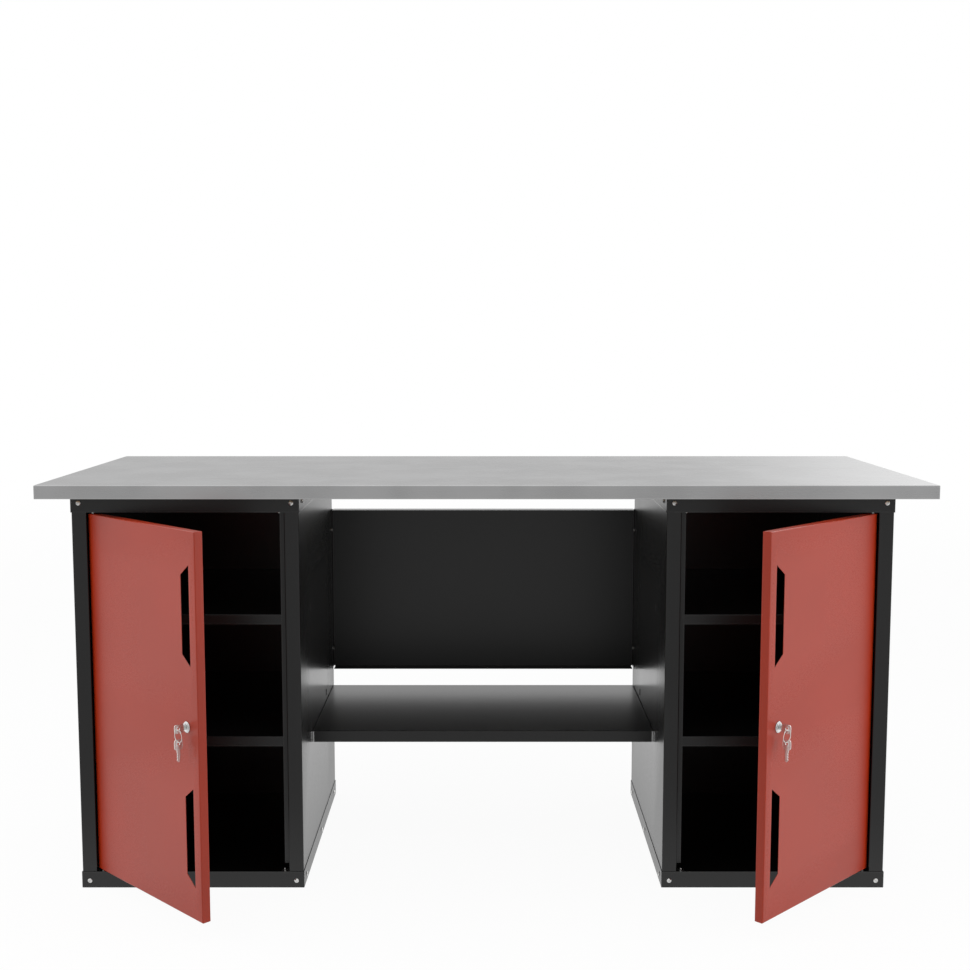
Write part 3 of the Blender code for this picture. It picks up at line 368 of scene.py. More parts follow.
def wear(mesh):
    """How much each point lies on a bend or an edge: 1 less the least cosine between its own normal and the
    normals of the faces that meet there, stretched so that a square edge is 1."""
    square_edge = 0.29

    def read(rows, field, kind, width=1):
        values = np.empty(len(rows) * width, kind)
        rows.foreach_get(field, values)
        return values

    corner = read(mesh.loops, "vertex_index", np.int32)
    sides = read(mesh.polygons, "loop_total", np.int32)
    faces = read(mesh.polygons, "normal", np.float32, 3).reshape(-1, 3)
    owner = np.repeat(faces, sides, axis=0)
    normals = np.zeros((len(mesh.vertices), 3))
    np.add.at(normals, corner, owner)
    normals = normals / np.maximum(np.linalg.norm(normals, axis=1, keepdims=True), TINY)
    least = np.ones(len(normals))
    np.minimum.at(least, corner, (owner * normals[corner]).sum(axis=1))
    return np.clip((1 - least) / square_edge, 0.0, 1.0)


def new_object(name, data):
    made = bpy.data.objects.new(name, data)
    bpy.context.scene.collection.objects.link(made)
    return made


def make_piece(name, shape, slot, wall=0.0, body=FRAME, extra=False):
    """A shape as a piece that rides on a body, in place of the CAD node of that name unless it is an extra
    one. wall turns an open sheet into one with that thickness behind its face; anything else is closed.
    Sharp edges are marked, and flat faces rule the normals."""
    same_place, sharp_edge = 2e-6, math.radians(32.0)
    replaced, name = name, name if extra else name + "_detailed"
    points, faces = shape
    used, faces = np.unique(faces, return_inverse=True)
    mesh = bpy.data.meshes.new(name)
    mesh.from_pydata(points[used].tolist(), [], faces.reshape(-1, 4).tolist())
    shell = bmesh.new()
    shell.from_mesh(mesh)
    bmesh.ops.remove_doubles(shell, verts=shell.verts, dist=same_place)
    if not wall:
        bmesh.ops.recalc_face_normals(shell, faces=shell.faces)
    shell.to_mesh(mesh)
    shell.free()
    piece = new_object(name, mesh)
    if wall:
        thick = piece.modifiers.new("Wall", "SOLIDIFY")
        thick.thickness = wall
        thick.offset = -1.0
        thick.use_even_offset = True
        thickened = piece.evaluated_get(bpy.context.evaluated_depsgraph_get())
        piece.data = bpy.data.meshes.new_from_object(thickened)
        piece.modifiers.clear()
        bpy.data.meshes.remove(mesh)
        piece.data.name = name
    piece.data.shade_smooth()
    piece.data.set_sharp_from_angle(angle=sharp_edge)
    edges = piece.data.attributes.new("wear", "FLOAT", "POINT")
    edges.data.foreach_set("value", wear(piece.data).astype(np.float32))
    piece.modifiers.new("Flat faces rule", "WEIGHTED_NORMAL").keep_sharp = True
    piece.data.materials.append(finish(slot))
    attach(piece, body)
    if not extra:
        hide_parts(replaced)


def pair(name, shape, slot, wall=0.0, places=CABINETS, body=FRAME, extra=False):
    """The same piece on the left and on the right. A body other than the frame has its side in its name."""
    for side in SIDES:
        rider = body if body == FRAME else f"{side}_{body}"
        make_piece(f"{side}_{name}", moved(shape, places[side]), slot, wall, rider, extra)


# Finishes

def node(tree, kind, inputs=None, **settings):
    """A shader node with its settings. An input, by name or number, is a value or another node's socket."""
    made = tree.nodes.new("ShaderNode" + kind)
    for name, value in settings.items():
        setattr(made, name, value)
    for name, value in (inputs or {}).items():
        if isinstance(value, bpy.types.NodeSocket):
            tree.links.new(value, made.inputs[name])
        else:
            made.inputs[name].default_value = value
    return made


def drawn_out(tree, stretch):
    """The object's coordinates, drawn out along an axis where its stretch is small."""
    place = node(tree, "TexCoord").outputs["Object"]
    return node(tree, "Mapping", {"Vector": place, "Scale": stretch}).outputs[0]


def pattern(tree, scale, detail_levels=2.0, stretch=(1.0, 1.0, 1.0)):
    """Noise with a number of cells to the metre."""
    inputs = {"Vector": drawn_out(tree, stretch), "Scale": scale, "Detail": detail_levels}
    return node(tree, "TexNoise", inputs).outputs[0]


def grains(tree, scale, stretch=(1.0, 1.0, 1.0)):
    """One random shade for each cell, with a number of cells to the metre."""
    cells = node(tree, "TexVoronoi", {"Vector": drawn_out(tree, stretch), "Scale": scale})
    return node(tree, "SeparateColor", {0: cells.outputs["Color"]}).outputs[0]


def eased(tree, value, from_low, from_high, low, high):
    """Goes smoothly from one value to another while its source goes between two others."""
    inputs = {"Value": value, "From Min": from_low, "From Max": from_high, "To Min": low, "To Max": high}
    return node(tree, "MapRange", inputs, interpolation_type="SMOOTHSTEP").outputs[0]


def stretched(tree, source, low, high):
    """A pattern, which mostly stays near its middle, drawn out between two values."""
    return eased(tree, source, 0.3, 0.7, low, high)


def sum_of(tree, first, second, operation="ADD"):
    return node(tree, "Math", {0: first, 1: second}, operation=operation).outputs[0]


def shaded(tree, factor, first, second):
    """Two colours mixed by a factor."""
    mixed = node(tree, "Mix", {0: factor, 6: (*first, 1.0), 7: (*second, 1.0)}, data_type="RGBA")
    return mixed.outputs[2]


def times(colour, factor):
    return tuple(min(channel * factor, 1.0) for channel in colour)


def worn(tree, share):
    """A share of how much the surface is worn there, which is most on its edges."""
    edges = node(tree, "Attribute", attribute_name="wear").outputs["Fac"]
    return sum_of(tree, edges, share, "MULTIPLY")


def worn_colour(tree, body, share, bare):
    """A finish's colour that goes towards another one where it is worn."""
    inputs = {0: worn(tree, share), 6: body, 7: (*bare, 1.0)}
    return node(tree, "Mix", inputs, data_type="RGBA").outputs[2]


def coat(material, colour, smooth, *layers):
    """A finish with its colour, its roughness, and bumps on one another, each (pattern, height, strength)."""
    tree, normal = material.node_tree, None
    for height, distance, strength in layers:
        inputs = {"Height": height, "Distance": distance, "Strength": strength}
        if normal:
            inputs["Normal"] = normal
        normal = node(tree, "Bump", inputs).outputs[0]
    for socket, source in (("Base Color", colour), ("Roughness", smooth), ("Normal", normal)):
        tree.links.new(source, tree.nodes["Principled BSDF"].inputs[socket])
    return material


def blank_finish(name, **sockets):
    material = bpy.data.materials.new(name)
    material.use_nodes = True
    tree = material.node_tree
    for socket, value in sockets.items():
        tree.nodes["Principled BSDF"].inputs[socket.replace("_", " ")].default_value = value
    return material, tree


def paint(name, colour, roughness, grain, gloss):
    """Powder coat: cloudy colour and two sizes of grain, thinner and smoother over the edges."""
    material, tree = blank_finish(name, Specular_IOR_Level=gloss)
    cloud = stretched(tree, pattern(tree, 5.0, 1.0), 0.0, 1.0)
    body = shaded(tree, cloud, times(colour, 0.96), times(colour, 1.04))
    thin = [0.75 * channel + 0.03 for channel in times(colour, 1.5)]
    peel, speck = pattern(tree, 800.0, 1.0), pattern(tree, 2200.0)
    spread, edge_gloss = 0.02, 0.08
    smooth = stretched(tree, peel, roughness - spread, roughness + spread)
    smooth = sum_of(tree, smooth, worn(tree, edge_gloss), "SUBTRACT")
    body = worn_colour(tree, body, 0.35, thin)
    return coat(material, body, smooth, (peel, 0.012 * MM, grain), (speck, 0.006 * MM, grain))


def worktop_steel(look):
    """Bare sheet steel: soft blotches, faint rolling lines along its length, and brighter worn edges."""
    material, tree = blank_finish("worktop_steel", Metallic=1.0, Specular_Tint=(0.6, 0.6, 0.6, 1.0))
    blotch, waves = stretched(tree, pattern(tree, 7.0), 0.0, 1.0), pattern(tree, 30.0)
    lines = pattern(tree, 9.0, 5.0, (0.5, 60.0, 60.0))
    body = shaded(tree, blotch, times(look.steel, 0.92), times(look.steel, 1.05))
    body = worn_colour(tree, body, 0.3, times(look.steel, 1.5))
    smooth = stretched(tree, lines, look.steel_roughness - 0.04, look.steel_roughness + 0.05)
    smooth = sum_of(tree, smooth, sum_of(tree, blotch, 0.05, "MULTIPLY"))
    return coat(material, body, smooth, (lines, 0.02 * MM, 0.25), (waves, 0.05 * MM, 0.12))


def board():
    """Chipboard: long pale and dark chips with dust between them."""
    material, tree = blank_finish("chipboard")
    chips, dust = grains(tree, 260.0, (1.0, 0.45, 1.0)), pattern(tree, 700.0, 3.0)
    tone = sum_of(tree, sum_of(tree, chips, 0.7, "MULTIPLY"), sum_of(tree, dust, 0.4, "MULTIPLY"))
    body = shaded(tree, tone, (0.22, 0.14, 0.075), (0.56, 0.42, 0.26))
    smooth = stretched(tree, dust, 0.75, 0.92)
    return coat(material, body, smooth, (chips, 0.2 * MM, 0.4), (dust, 0.15 * MM, 0.4))


def plating(name, colour, roughness, mottle, fine):
    """Plated metal: mottled brightness, fine scratches and smoother edges."""
    material, tree = blank_finish(name, Metallic=1.0)
    body = shaded(tree, grains(tree, mottle), times(colour, 0.92), times(colour, 1.04))
    scratch = pattern(tree, fine, 4.0, (1.0, 8.0, 1.0))
    smooth = stretched(tree, scratch, roughness - 0.03, roughness + 0.06)
    smooth = sum_of(tree, smooth, worn(tree, 0.03), "SUBTRACT")
    return coat(material, body, smooth, (scratch, 0.01 * MM, 0.3))


RECIPES = {
    "black_paint": lambda look: paint("black_powder_coat", look.black, look.black_roughness,
                                      grain=0.1, gloss=0.47),
    "red_paint": lambda look: paint("red_powder_coat", look.red, look.red_roughness,
                                    grain=0.06, gloss=0.43),
    "worktop_steel": worktop_steel,
    "board": lambda look: board(),
    "zinc": lambda look: plating("zinc_plate", look.zinc, roughness=0.3, mottle=420.0, fine=900.0),
    "chrome": lambda look: plating("chrome_plate", look.chrome, roughness=0.12, mottle=90.0, fine=1400.0),
    "nickel": lambda look: plating("nickel_plate", look.nickel, roughness=0.22, mottle=160.0, fine=1200.0),
}
MIXED = {}


def finish(slot):
    """The finish for one of the record's material slots, mixed once."""
    if slot not in MIXED:
        MIXED[slot] = RECIPES[slot](bpy.context.scene.workbench_finish)
    return MIXED[slot]


def repaint(name, slot):
    """A carried-over CAD node with its finish."""
    piece = frame["nodes"][name]
    piece.data.materials.clear()
    piece.data.materials.append(finish(slot))


# Settings

LENGTH = {"subtype": "DISTANCE", "unit": "LENGTH"}
COLOUR = {"subtype": "COLOR", "min": 0.0, "max": 1.0}
ROUGHNESS = {"subtype": "FACTOR", "min": 0.1, "max": 1.0}


class WorkbenchSheet(bpy.types.PropertyGroup):
    """How the steel sheet is folded"""
    fold_radius: bpy.props.FloatProperty(
        name="Fold Radius", description="Outer radius of the bends", default=2.0 * MM, min=1.1 * MM, **LENGTH)
    fold_steps: bpy.props.IntProperty(
        name="Fold Steps", description="Facets round each bend", default=6, min=2, max=12)
    corner_gap: bpy.props.FloatProperty(
        name="Corner Gap", description="How far a side lip ends short of the front lip's face",
        default=1.4 * MM, min=0.0, **LENGTH)
    edge_ease: bpy.props.FloatProperty(
        name="Edge Ease", description="Width over which an edge's wear fades", default=3.0 * MM,
        min=0.5 * MM, **LENGTH)


class WorkbenchFittings(bpy.types.PropertyGroup):
    """Sizes of the screws' heads"""
    head_height: bpy.props.FloatProperty(
        name="Head Height", description="Height of a screw's head", default=2.6 * MM,
        min=1.0 * MM, **LENGTH)
    head_rim: bpy.props.FloatProperty(
        name="Head Rim", description="Height of the upright rim of the head", default=0.7 * MM,
        min=0.1 * MM, **LENGTH)
    recess_width: bpy.props.FloatProperty(
        name="Recess Width", description="Width of the cross recess's arms", default=1.0 * MM,
        min=0.2 * MM, **LENGTH)
    recess_radius: bpy.props.FloatProperty(
        name="Recess Radius", description="Reach of the cross recess's arms", default=2.4 * MM,
        min=0.8 * MM, **LENGTH)
    recess_depth: bpy.props.FloatProperty(
        name="Recess Depth", description="Depth of the cross recess at its middle", default=1.5 * MM,
        min=0.1 * MM, **LENGTH)


class WorkbenchFinish(bpy.types.PropertyGroup):
    """Colours and gloss of the finishes"""
    black: bpy.props.FloatVectorProperty(
        name="Black", description="Colour of the frame's powder coat",
        default=(0.004, 0.004, 0.004), **COLOUR)
    black_roughness: bpy.props.FloatProperty(
        name="Black Roughness", description="Roughness of the frame's powder coat",
        default=0.31, **ROUGHNESS)
    red: bpy.props.FloatVectorProperty(
        name="Red", description="Colour of the doors' powder coat",
        default=(0.3, 0.02, 0.003), **COLOUR)
    red_roughness: bpy.props.FloatProperty(
        name="Red Roughness", description="Roughness of the doors' powder coat",
        default=0.3, **ROUGHNESS)
    steel: bpy.props.FloatVectorProperty(
        name="Steel", description="Colour of the worktop's bare steel",
        default=(0.46, 0.46, 0.462), **COLOUR)
    steel_roughness: bpy.props.FloatProperty(
        name="Steel Roughness", description="Roughness of the worktop's bare steel",
        default=0.27, **ROUGHNESS)
    zinc: bpy.props.FloatVectorProperty(
        name="Zinc", description="Colour of the zinc plated fittings",
        default=(0.66, 0.66, 0.65), **COLOUR)
    chrome: bpy.props.FloatVectorProperty(
        name="Chrome", description="Colour of the lock's plating",
        default=(0.72, 0.72, 0.72), **COLOUR)
    nickel: bpy.props.FloatVectorProperty(
        name="Nickel", description="Colour of the keys' plating",
        default=(0.84, 0.83, 0.81), **COLOUR)


class WorkbenchStudio(bpy.types.PropertyGroup):
    """The camera and the light"""
    lens: bpy.props.FloatProperty(
        name="Lens", description="Focal length of the camera", default=50.0, min=10.0, unit="CAMERA")
    camera_at: bpy.props.FloatVectorProperty(
        name="Camera Place", description="Where the camera stands", default=(-0.0035, -2.9088, 1.1388),
        subtype="TRANSLATION", unit="LENGTH")
    camera_pitch: bpy.props.FloatProperty(
        name="Camera Pitch", description="How far the camera looks down", default=math.radians(6.0),
        subtype="ANGLE", unit="ROTATION")
    left_light: bpy.props.FloatProperty(
        name="Left Light", description="Brightness of the soft box on the left", default=1.55, min=0.0)
    right_light: bpy.props.FloatProperty(
        name="Right Light", description="Brightness of the soft box on the right", default=0.4, min=0.0)
    key_light: bpy.props.FloatProperty(
        name="Key Light", description="Brightness of the soft box in front, on the right",
        default=3.3, min=0.0)
    key_gloss: bpy.props.FloatProperty(
        name="Key Gloss", description="Brightness of that soft box in reflections", default=1.7, min=0.0)
    top_light: bpy.props.FloatProperty(
        name="Top Light", description="Brightness of the soft box above the bench", default=1.6, min=0.0)
    room_light: bpy.props.FloatProperty(
        name="Room Light", description="Brightness of the light from the room all round",
        default=0.55, min=0.0)
    front_gloss: bpy.props.FloatProperty(
        name="Front Gloss", description="Brightness of the room's front in reflections",
        default=0.62, min=0.0)
    right_gloss: bpy.props.FloatProperty(
        name="Right Gloss", description="Brightness of the back wall's right half in reflections",
        default=2.05, min=0.0)
    high_gloss: bpy.props.FloatProperty(
        name="High Gloss", description="Brightness of the walls higher up in reflections",
        default=1.3, min=0.0)


# Operators

class WORKBENCH_OT_worktop(bpy.types.Operator):
    """Fold the steel skin over the worktop's board"""
    bl_idname = "workbench.worktop"
    bl_label = "Worktop"

    def execute(self, context):
        skin = tray_in_box("worktop_skin", context.scene.workbench_sheet)
        make_piece("worktop_skin", skin, "worktop_steel", WORKTOP_SKIN)
        repaint("worktop_core", "board")
        return {"FINISHED"}


class WORKBENCH_OT_trays(bpy.types.Operator):
    """Fold the trays at the top and the foot of both cabinets"""
    bl_idname = "workbench.trays"
    bl_label = "Top and Bottom Trays"

    def execute(self, context):
        sheet = context.scene.workbench_sheet
        plate = tray(HALF_CABINET, CABINET_DEPTH / 2, TRAY_LIP, sheet, short_y=sheet.corner_gap)
        top = moved(plate, shift(0, CABINET_DEPTH / 2, CABINET_HEIGHT))
        bottom = moved(plate, shift(0, CABINET_DEPTH / 2) @ UPSIDE_DOWN)
        pair("top_tray", top, "black_paint", SHEET)
        pair("bottom_tray", bottom, "black_paint", SHEET)
        return {"FINISHED"}


class WORKBENCH_OT_side_panels(bpy.types.Operator):
    """Fold the side panels: post, return, door stop, side and back flange"""
    bl_idname = "workbench.side_panels"
    bl_label = "Side Panels"

    def execute(self, context):
        panel = side_panel(context.scene.workbench_sheet)
        pair("inner_side_panel", panel, "black_paint", SHEET)
        pair("outer_side_panel", moved(panel, MIRROR), "black_paint", SHEET)
        return {"FINISHED"}


def side_panel(sheet):
    """The panel at +X of a cabinet: a folded section carried up z. The cells of its slots are left out, and
    those of the return and the stop where they end short of the pivot brackets."""
    back = CABINET_DEPTH - PANEL_INSET
    ease, outer = sheet.edge_ease, sheet.fold_radius
    path = rounded_path([
        (HALF_OPENING - STOP_WIDTH, STOP_DEPTH),
        (HALF_OPENING, STOP_DEPTH),
        (HALF_OPENING, PANEL_INSET),
        (PANEL_FACE, PANEL_INSET),
        (PANEL_FACE, back),
        (PANEL_FACE - BACK_FLANGE, back),
    ], [outer - SHEET, outer, outer, outer], sheet.fold_steps, ease)
    side_start = np.flatnonzero(np.isclose(path[:, 0], PANEL_FACE))[1]
    slot_lines = np.add.outer(TAB_PLACES, np.array([-0.5, 0.5]) * SLOT_SIZE[0]).ravel()
    stations = grid(PANEL_FACE, slot_lines, 0.0)[:, :2]
    path = np.insert(path, side_start + 1, stations, axis=0)
    slot_middles = np.array(sorted(SHELF_TOPS.values())) - SHELF_LIP / 2
    slot_heights = np.add.outer(slot_middles, np.array([-0.5, 0.5]) * SLOT_SIZE[1]).ravel()
    foot, head = TRAY_LIP + STOP_NOTCH, CABINET_HEIGHT - TRAY_LIP
    heights = np.concatenate([
        [PANEL_INSET, PANEL_INSET + ease, foot, foot + ease], slot_heights,
        [head - ease, head, PANEL_TOP - ease, PANEL_TOP]])
    x, y = ((path[1:] + path[:-1]) / 2).T
    level = ((heights[1:] + heights[:-1]) / 2)[:, None]
    in_slot_y = (np.abs(np.subtract.outer(y, TAB_PLACES)) < SLOT_SIZE[0] / 2).any(axis=1)
    in_slot_z = (np.abs(level - slot_middles) < SLOT_SIZE[1] / 2).any(axis=1)
    slots = in_slot_z[:, None] & in_slot_y & np.isclose(x, PANEL_FACE)
    behind_post = (x < HALF_OPENING + outer / 2) & (y < CABINET_DEPTH / 2)
    notches = ((level < foot) | (level > head)) & behind_post
    return carried(path, heights, ~slots & ~notches)


class WORKBENCH_OT_back_panels(bpy.types.Operator):
    """Paint the flat back panels of both cabinets"""
    bl_idname = "workbench.back_panels"
    bl_label = "Back Panels"

    def execute(self, context):
        for side in SIDES:
            repaint(side + "_back_panel", "black_paint")
        return {"FINISHED"}


class WORKBENCH_OT_shelves(bpy.types.Operator):
    """Fold the cabinets' shelves, with the tabs that hook into the side panels"""
    bl_idname = "workbench.shelves"
    bl_label = "Cabinet Shelves"

    def execute(self, context):
        sheet = context.scene.workbench_sheet
        half = PANEL_FACE - SHEET - CLEAR
        depth = CABINET_DEPTH - PANEL_INSET - 2 * SHEET - CLEAR - SHELF_BACK_GAP - SHELF_SETBACK
        plate = tray(half, depth / 2, SHELF_LIP, sheet, short_y=sheet.corner_gap)
        tab = tab_shape(half)
        tabs = together(*[moved(tab, turn @ shift(y=y)) for turn in (MIRROR, UPRIGHT) for y in TAB_PLACES])
        for level, top in SHELF_TOPS.items():
            shelf = moved(plate, shift(0, SHELF_SETBACK + depth / 2, top))
            pair(level + "_shelf", shelf, "black_paint", SHEET)
            pair(level + "_shelf_tabs", moved(tabs, shift(z=top)), "black_paint", extra=True)
        return {"FINISHED"}


def tab_shape(half):
    """A tab that stands out of a shelf's end lip through a slot: a rounded bar, whose section shrinks over
    the last tenth of its reach like a quarter circle. It ends a little proud of the panel."""
    start, end = half - SHEET, PANEL_FACE + TAB_PROUD
    share = np.array([0.0, 0.0, 0.9, 0.95, 0.985, 1.0, 1.0])[:, None]
    size = np.array([0.0, 1.0, 1.0, 0.95, 0.8, 0.55, 0.0])[:, None]
    y = TAB_SIZE[0] / 2 * np.array([-1, -0.8, 0.8, 1, 1, 0.8, -0.8, -1])
    z = TAB_SIZE[1] / 2 * np.array([-0.9, -1, -1, -0.9, 0.9, 1, 1, 0.9])
    return lattice(grid(start + (end - start) * share, size * y, size * z - SHELF_LIP / 2), wrap=True)


class WORKBENCH_OT_middle_shelf(bpy.types.Operator):
    """Fold the shelf between the cabinets"""
    bl_idname = "workbench.middle_shelf"
    bl_label = "Middle Shelf"

    def execute(self, context):
        relief = 2.3 * MM
        made = tray_in_box("middle_shelf", context.scene.workbench_sheet, relief)
        make_piece("middle_shelf", made, "black_paint", SHEET)
        return {"FINISHED"}


class WORKBENCH_OT_modesty_panel(bpy.types.Operator):
    """Fold the panel that closes the back between the cabinets"""
    bl_idname = "workbench.modesty_panel"
    bl_label = "Modesty Panel"

    def execute(self, context):
        relief, to_back = 4.4 * MM, axes((-1, 0, 0), (0, 0, 1), (0, 1, 0))
        made = tray_in_box("modesty_panel", context.scene.workbench_sheet, relief, to_back)
        make_piece("modesty_panel", made, "black_paint", SHEET)
        return {"FINISHED"}


def pivots():
    """For each pivot pin: its name in a cabinet, 1 on the hinge's side and -1 on the other, and where its
    pieces stand: at the foot, or upside down at the top."""
    return [(f"{level}_{label}", turn, shift(turn * PIVOT_X, PIVOT_SETBACK) @ stand)
            for label, turn in (("hinge", 1), ("spare_hinge", -1))
            for level, stand in (("lower", UPRIGHT), ("upper", shift(z=CABINET_HEIGHT) @ UPSIDE_DOWN))]


class WORKBENCH_OT_brackets(bpy.types.Operator):
    """Fold the angle brackets that carry the pivot pins"""
    bl_idname = "workbench.brackets"
    bl_label = "Pivot Brackets"

    def execute(self, context):
        leg, bend, ease = PANEL_INSET + SHEET + CLEAR - PIVOT_SETBACK, 2.4 * MM, 1.5 * MM
        corners = [(leg, BRACKET_FOOT), (leg, BRACKET_TOP), (leg + BRACKET_DEPTH, BRACKET_TOP)]
        path = rounded_path(corners, [bend], 6, ease)
        for name, turn, place in pivots():
            start, end = sorted((turn * BRACKET_PAST_PIN, turn * (BRACKET_PAST_PIN - BRACKET_WIDTH)))
            made = moved(carried(path, [start, start + ease, end - ease, end]), place @ SIDEWAYS)
            pair(name + "_bracket", made, "zinc", -BRACKET_SHEET)
        return {"FINISHED"}


class WORKBENCH_OT_pins(bpy.types.Operator):
    """Turn the shouldered pivot pins"""
    bl_idname = "workbench.pins"
    bl_label = "Pivot Pins"

    def execute(self, context):
        under, over = BRACKET_TOP - BRACKET_SHEET - CLEAR, BRACKET_TOP + CLEAR
        foot, spindle_length, spare_gap, rounding = under - 2.5 * MM, 6.5 * MM, 1.4 * MM, 0.22 * MM
        for name, turn, place in pivots():
            spindle = turn == 1
            door_end = DOOR_TOP_GAP if name.startswith("upper") else DOOR_BOTTOM
            shoulder = door_end - (CLEAR if spindle else spare_gap)
            profile = [(0, foot), (PIN_SHOULDER, foot), (PIN_SHOULDER, under), (PIN_RADIUS, under),
                       (PIN_RADIUS, over), (PIN_SHOULDER, over), (PIN_SHOULDER, shoulder)]
            if spindle:
                tip = shoulder + spindle_length
                profile += [(PIN_RADIUS, shoulder), (PIN_RADIUS, tip), (0, tip)]
            else:
                profile += [(0.75 * PIN_SHOULDER, shoulder + 0.7 * MM), (0, shoulder + 1.0 * MM)]
            pair(name + "_pin", moved(turned(softened(profile, rounding), 32), place), "zinc")
        return {"FINISHED"}


def end_seats(y, way, turn):
    """The tray lips' screws near one upright edge at the front or the back: (place, outward axis)."""
    return [((turn * (HALF_CABINET - FRONT_SCREW_INSET), y, z), (0, way, 0)) for z in SCREW_LEVELS]


def side_seats(turn):
    """The tray lips' screws on one side."""
    places = (SIDE_SCREW_INSET, CABINET_DEPTH / 2, CABINET_DEPTH - SIDE_SCREW_INSET)
    return [((turn * HALF_CABINET, y, z), (turn, 0, 0)) for y in places for z in SCREW_LEVELS]


def span_seats():
    """The screws that fasten the middle shelf's end lips and the modesty panel's end flanges."""
    shelf_low, shelf_high = node_box("middle_shelf")
    panel_low, panel_high = node_box("modesty_panel")
    shelf_inset, panel_inset, from_end = 80.0 * MM, 8.0 * MM, 50.5 * MM
    shelf_z = (shelf_low[2] + shelf_high[2]) / 2
    seats = [(y, shelf_z) for y in (shelf_low[1] + shelf_inset, shelf_high[1] - shelf_inset)]
    seats += [(panel_low[1] + panel_inset, z) for z in (panel_low[2] + from_end, panel_high[2] - from_end)]
    return [((PANEL_FACE + CLEAR + SHEET, y - FRONT_Y, z), (1, 0, 0)) for y, z in seats]


def worktop_seats():
    """The screws up through the top tray into the worktop's board."""
    half_width, inset = 150.0 * MM, 125.0 * MM
    return [((x, y, CABINET_HEIGHT - SHEET), (0, 0, -1))
            for x in (-half_width, half_width) for y in (inset, CABINET_DEPTH - inset)]


class WORKBENCH_OT_screws(bpy.types.Operator):
    """Turn the pan head screws with cross recesses"""
    bl_idname = "workbench.screws"
    bl_label = "Screws"

    def execute(self, context):
        fittings, short, long = context.scene.workbench_fittings, 8.0 * MM, 19.0 * MM
        for label, turn in (("hinge", -1), ("spare_hinge", 1)):
            for level, seat in zip(("lower", "upper"), end_seats(0.0, -1, turn)):
                pair(f"{level}_{label}_screw", screws([seat], short, fittings), "zinc")
        groups = (
            ("outer_frame", side_seats(-1) + end_seats(CABINET_DEPTH, 1, -1), short),
            ("inner_frame", side_seats(1) + end_seats(CABINET_DEPTH, 1, 1), short),
            ("span", span_seats(), short),
            ("worktop", worktop_seats(), long),
        )
        for name, seats, length in groups:
            pair(name + "_screws", screws(seats, length, fittings), "zinc", extra=True)
        return {"FINISHED"}


class WORKBENCH_OT_doors(bpy.types.Operator):
    """Fold the doors, with their vents and the hole for the lock"""
    bl_idname = "workbench.doors"
    bl_label = "Doors"

    def execute(self, context):
        panel = door_panel(context.scene.workbench_sheet)
        pair("door_panel", panel, "red_paint", SHEET, DOORS, "door")
        return {"FINISHED"}


def door_panel(sheet):
    """A tray standing with its plate to the front. The lines at the vents' ends slope across each vent by the
    difference of its two sides, and the lines at the lock bend round its hole."""
    middle_x = (DOOR_FREE_EDGE - PIVOT_TO_EDGE) / 2
    half_x = (DOOR_FREE_EDGE + PIVOT_TO_EDGE) / 2
    half_z = (DOOR_TOP - DOOR_BOTTOM) / 2
    near, far = (edge - middle_x for edge in VENT_EDGES)
    short, long = VENT_HALVES
    ends = np.add.outer((-VENT_FROM_MIDDLE, VENT_FROM_MIDDLE), (-short, short)).ravel()
    lock = LOCK_X - middle_x
    radius, ring, block = LOCK_HOLE, 7.0 * MM, 11.0 * MM
    lines = np.array([-block, -ring, -ring / 2, 0.0, ring / 2, ring, block])

    def warp(x, y):
        ramp = np.clip((x - near) / (far - near), 0.0, 1.0) * (long - short)
        for end, way in zip(ends, (-1, 1, -1, 1)):
            y = np.where(np.isclose(y, end), y + way * ramp, y)
        return open_round(x, y, (lock, 0.0), block, ring, radius)

    def hole(x, y):
        in_vent = (x > near) & (x < far) & (np.abs(np.abs(y) - VENT_FROM_MIDDLE) < short)
        return in_vent | (np.abs(x - lock) < ring) & (np.abs(y) < ring)

    inner_x = np.unique(np.round(np.concatenate([[near, far], lock + lines]), 7))
    inner_y = np.sort(np.concatenate([ends, lines]))
    shape = tray(half_x, half_z, DOOR_FLANGE, sheet, short_x=sheet.corner_gap,
                 inner_x=inner_x, inner_y=inner_y, warp=warp, hole=hole)
    return moved(shape, axes((1, 0, 0), (0, 0, 1), (0, -1, 0), (middle_x, -PIVOT_TO_FACE, DOOR_MIDDLE)))


class WORKBENCH_OT_lock_housings(bpy.types.Operator):
    """Turn the locks' housings with their rosettes, and cut the nuts behind the doors"""
    bl_idname = "workbench.lock_housings"
    bl_label = "Lock Housings"

    def execute(self, context):
        bore, lip, groove, rosette, housing = 5.8 * MM, 8.6 * MM, 10.2 * MM, 11.0 * MM, 8.0 * MM
        front, back, length, rounding = -2.3 * MM, -CLEAR, 20.0 * MM, 0.3 * MM
        profile = [
            (bore, front + 0.9 * MM), (bore + 1.0 * MM, front), (lip, front), (groove, front + 0.35 * MM),
            (rosette, front + 1.1 * MM), (rosette, back), (housing, back), (housing, length),
        ]
        ring = np.vstack([softened(profile, rounding), (bore, length)])
        pair("lock_housing", turned(ring, 64, closed=True), "chrome", places=INTO_LOCKS, body="door")
        pair("lock_nut", hexagon_nut(), "zinc", places=INTO_LOCKS, body="door")
        return {"FINISHED"}


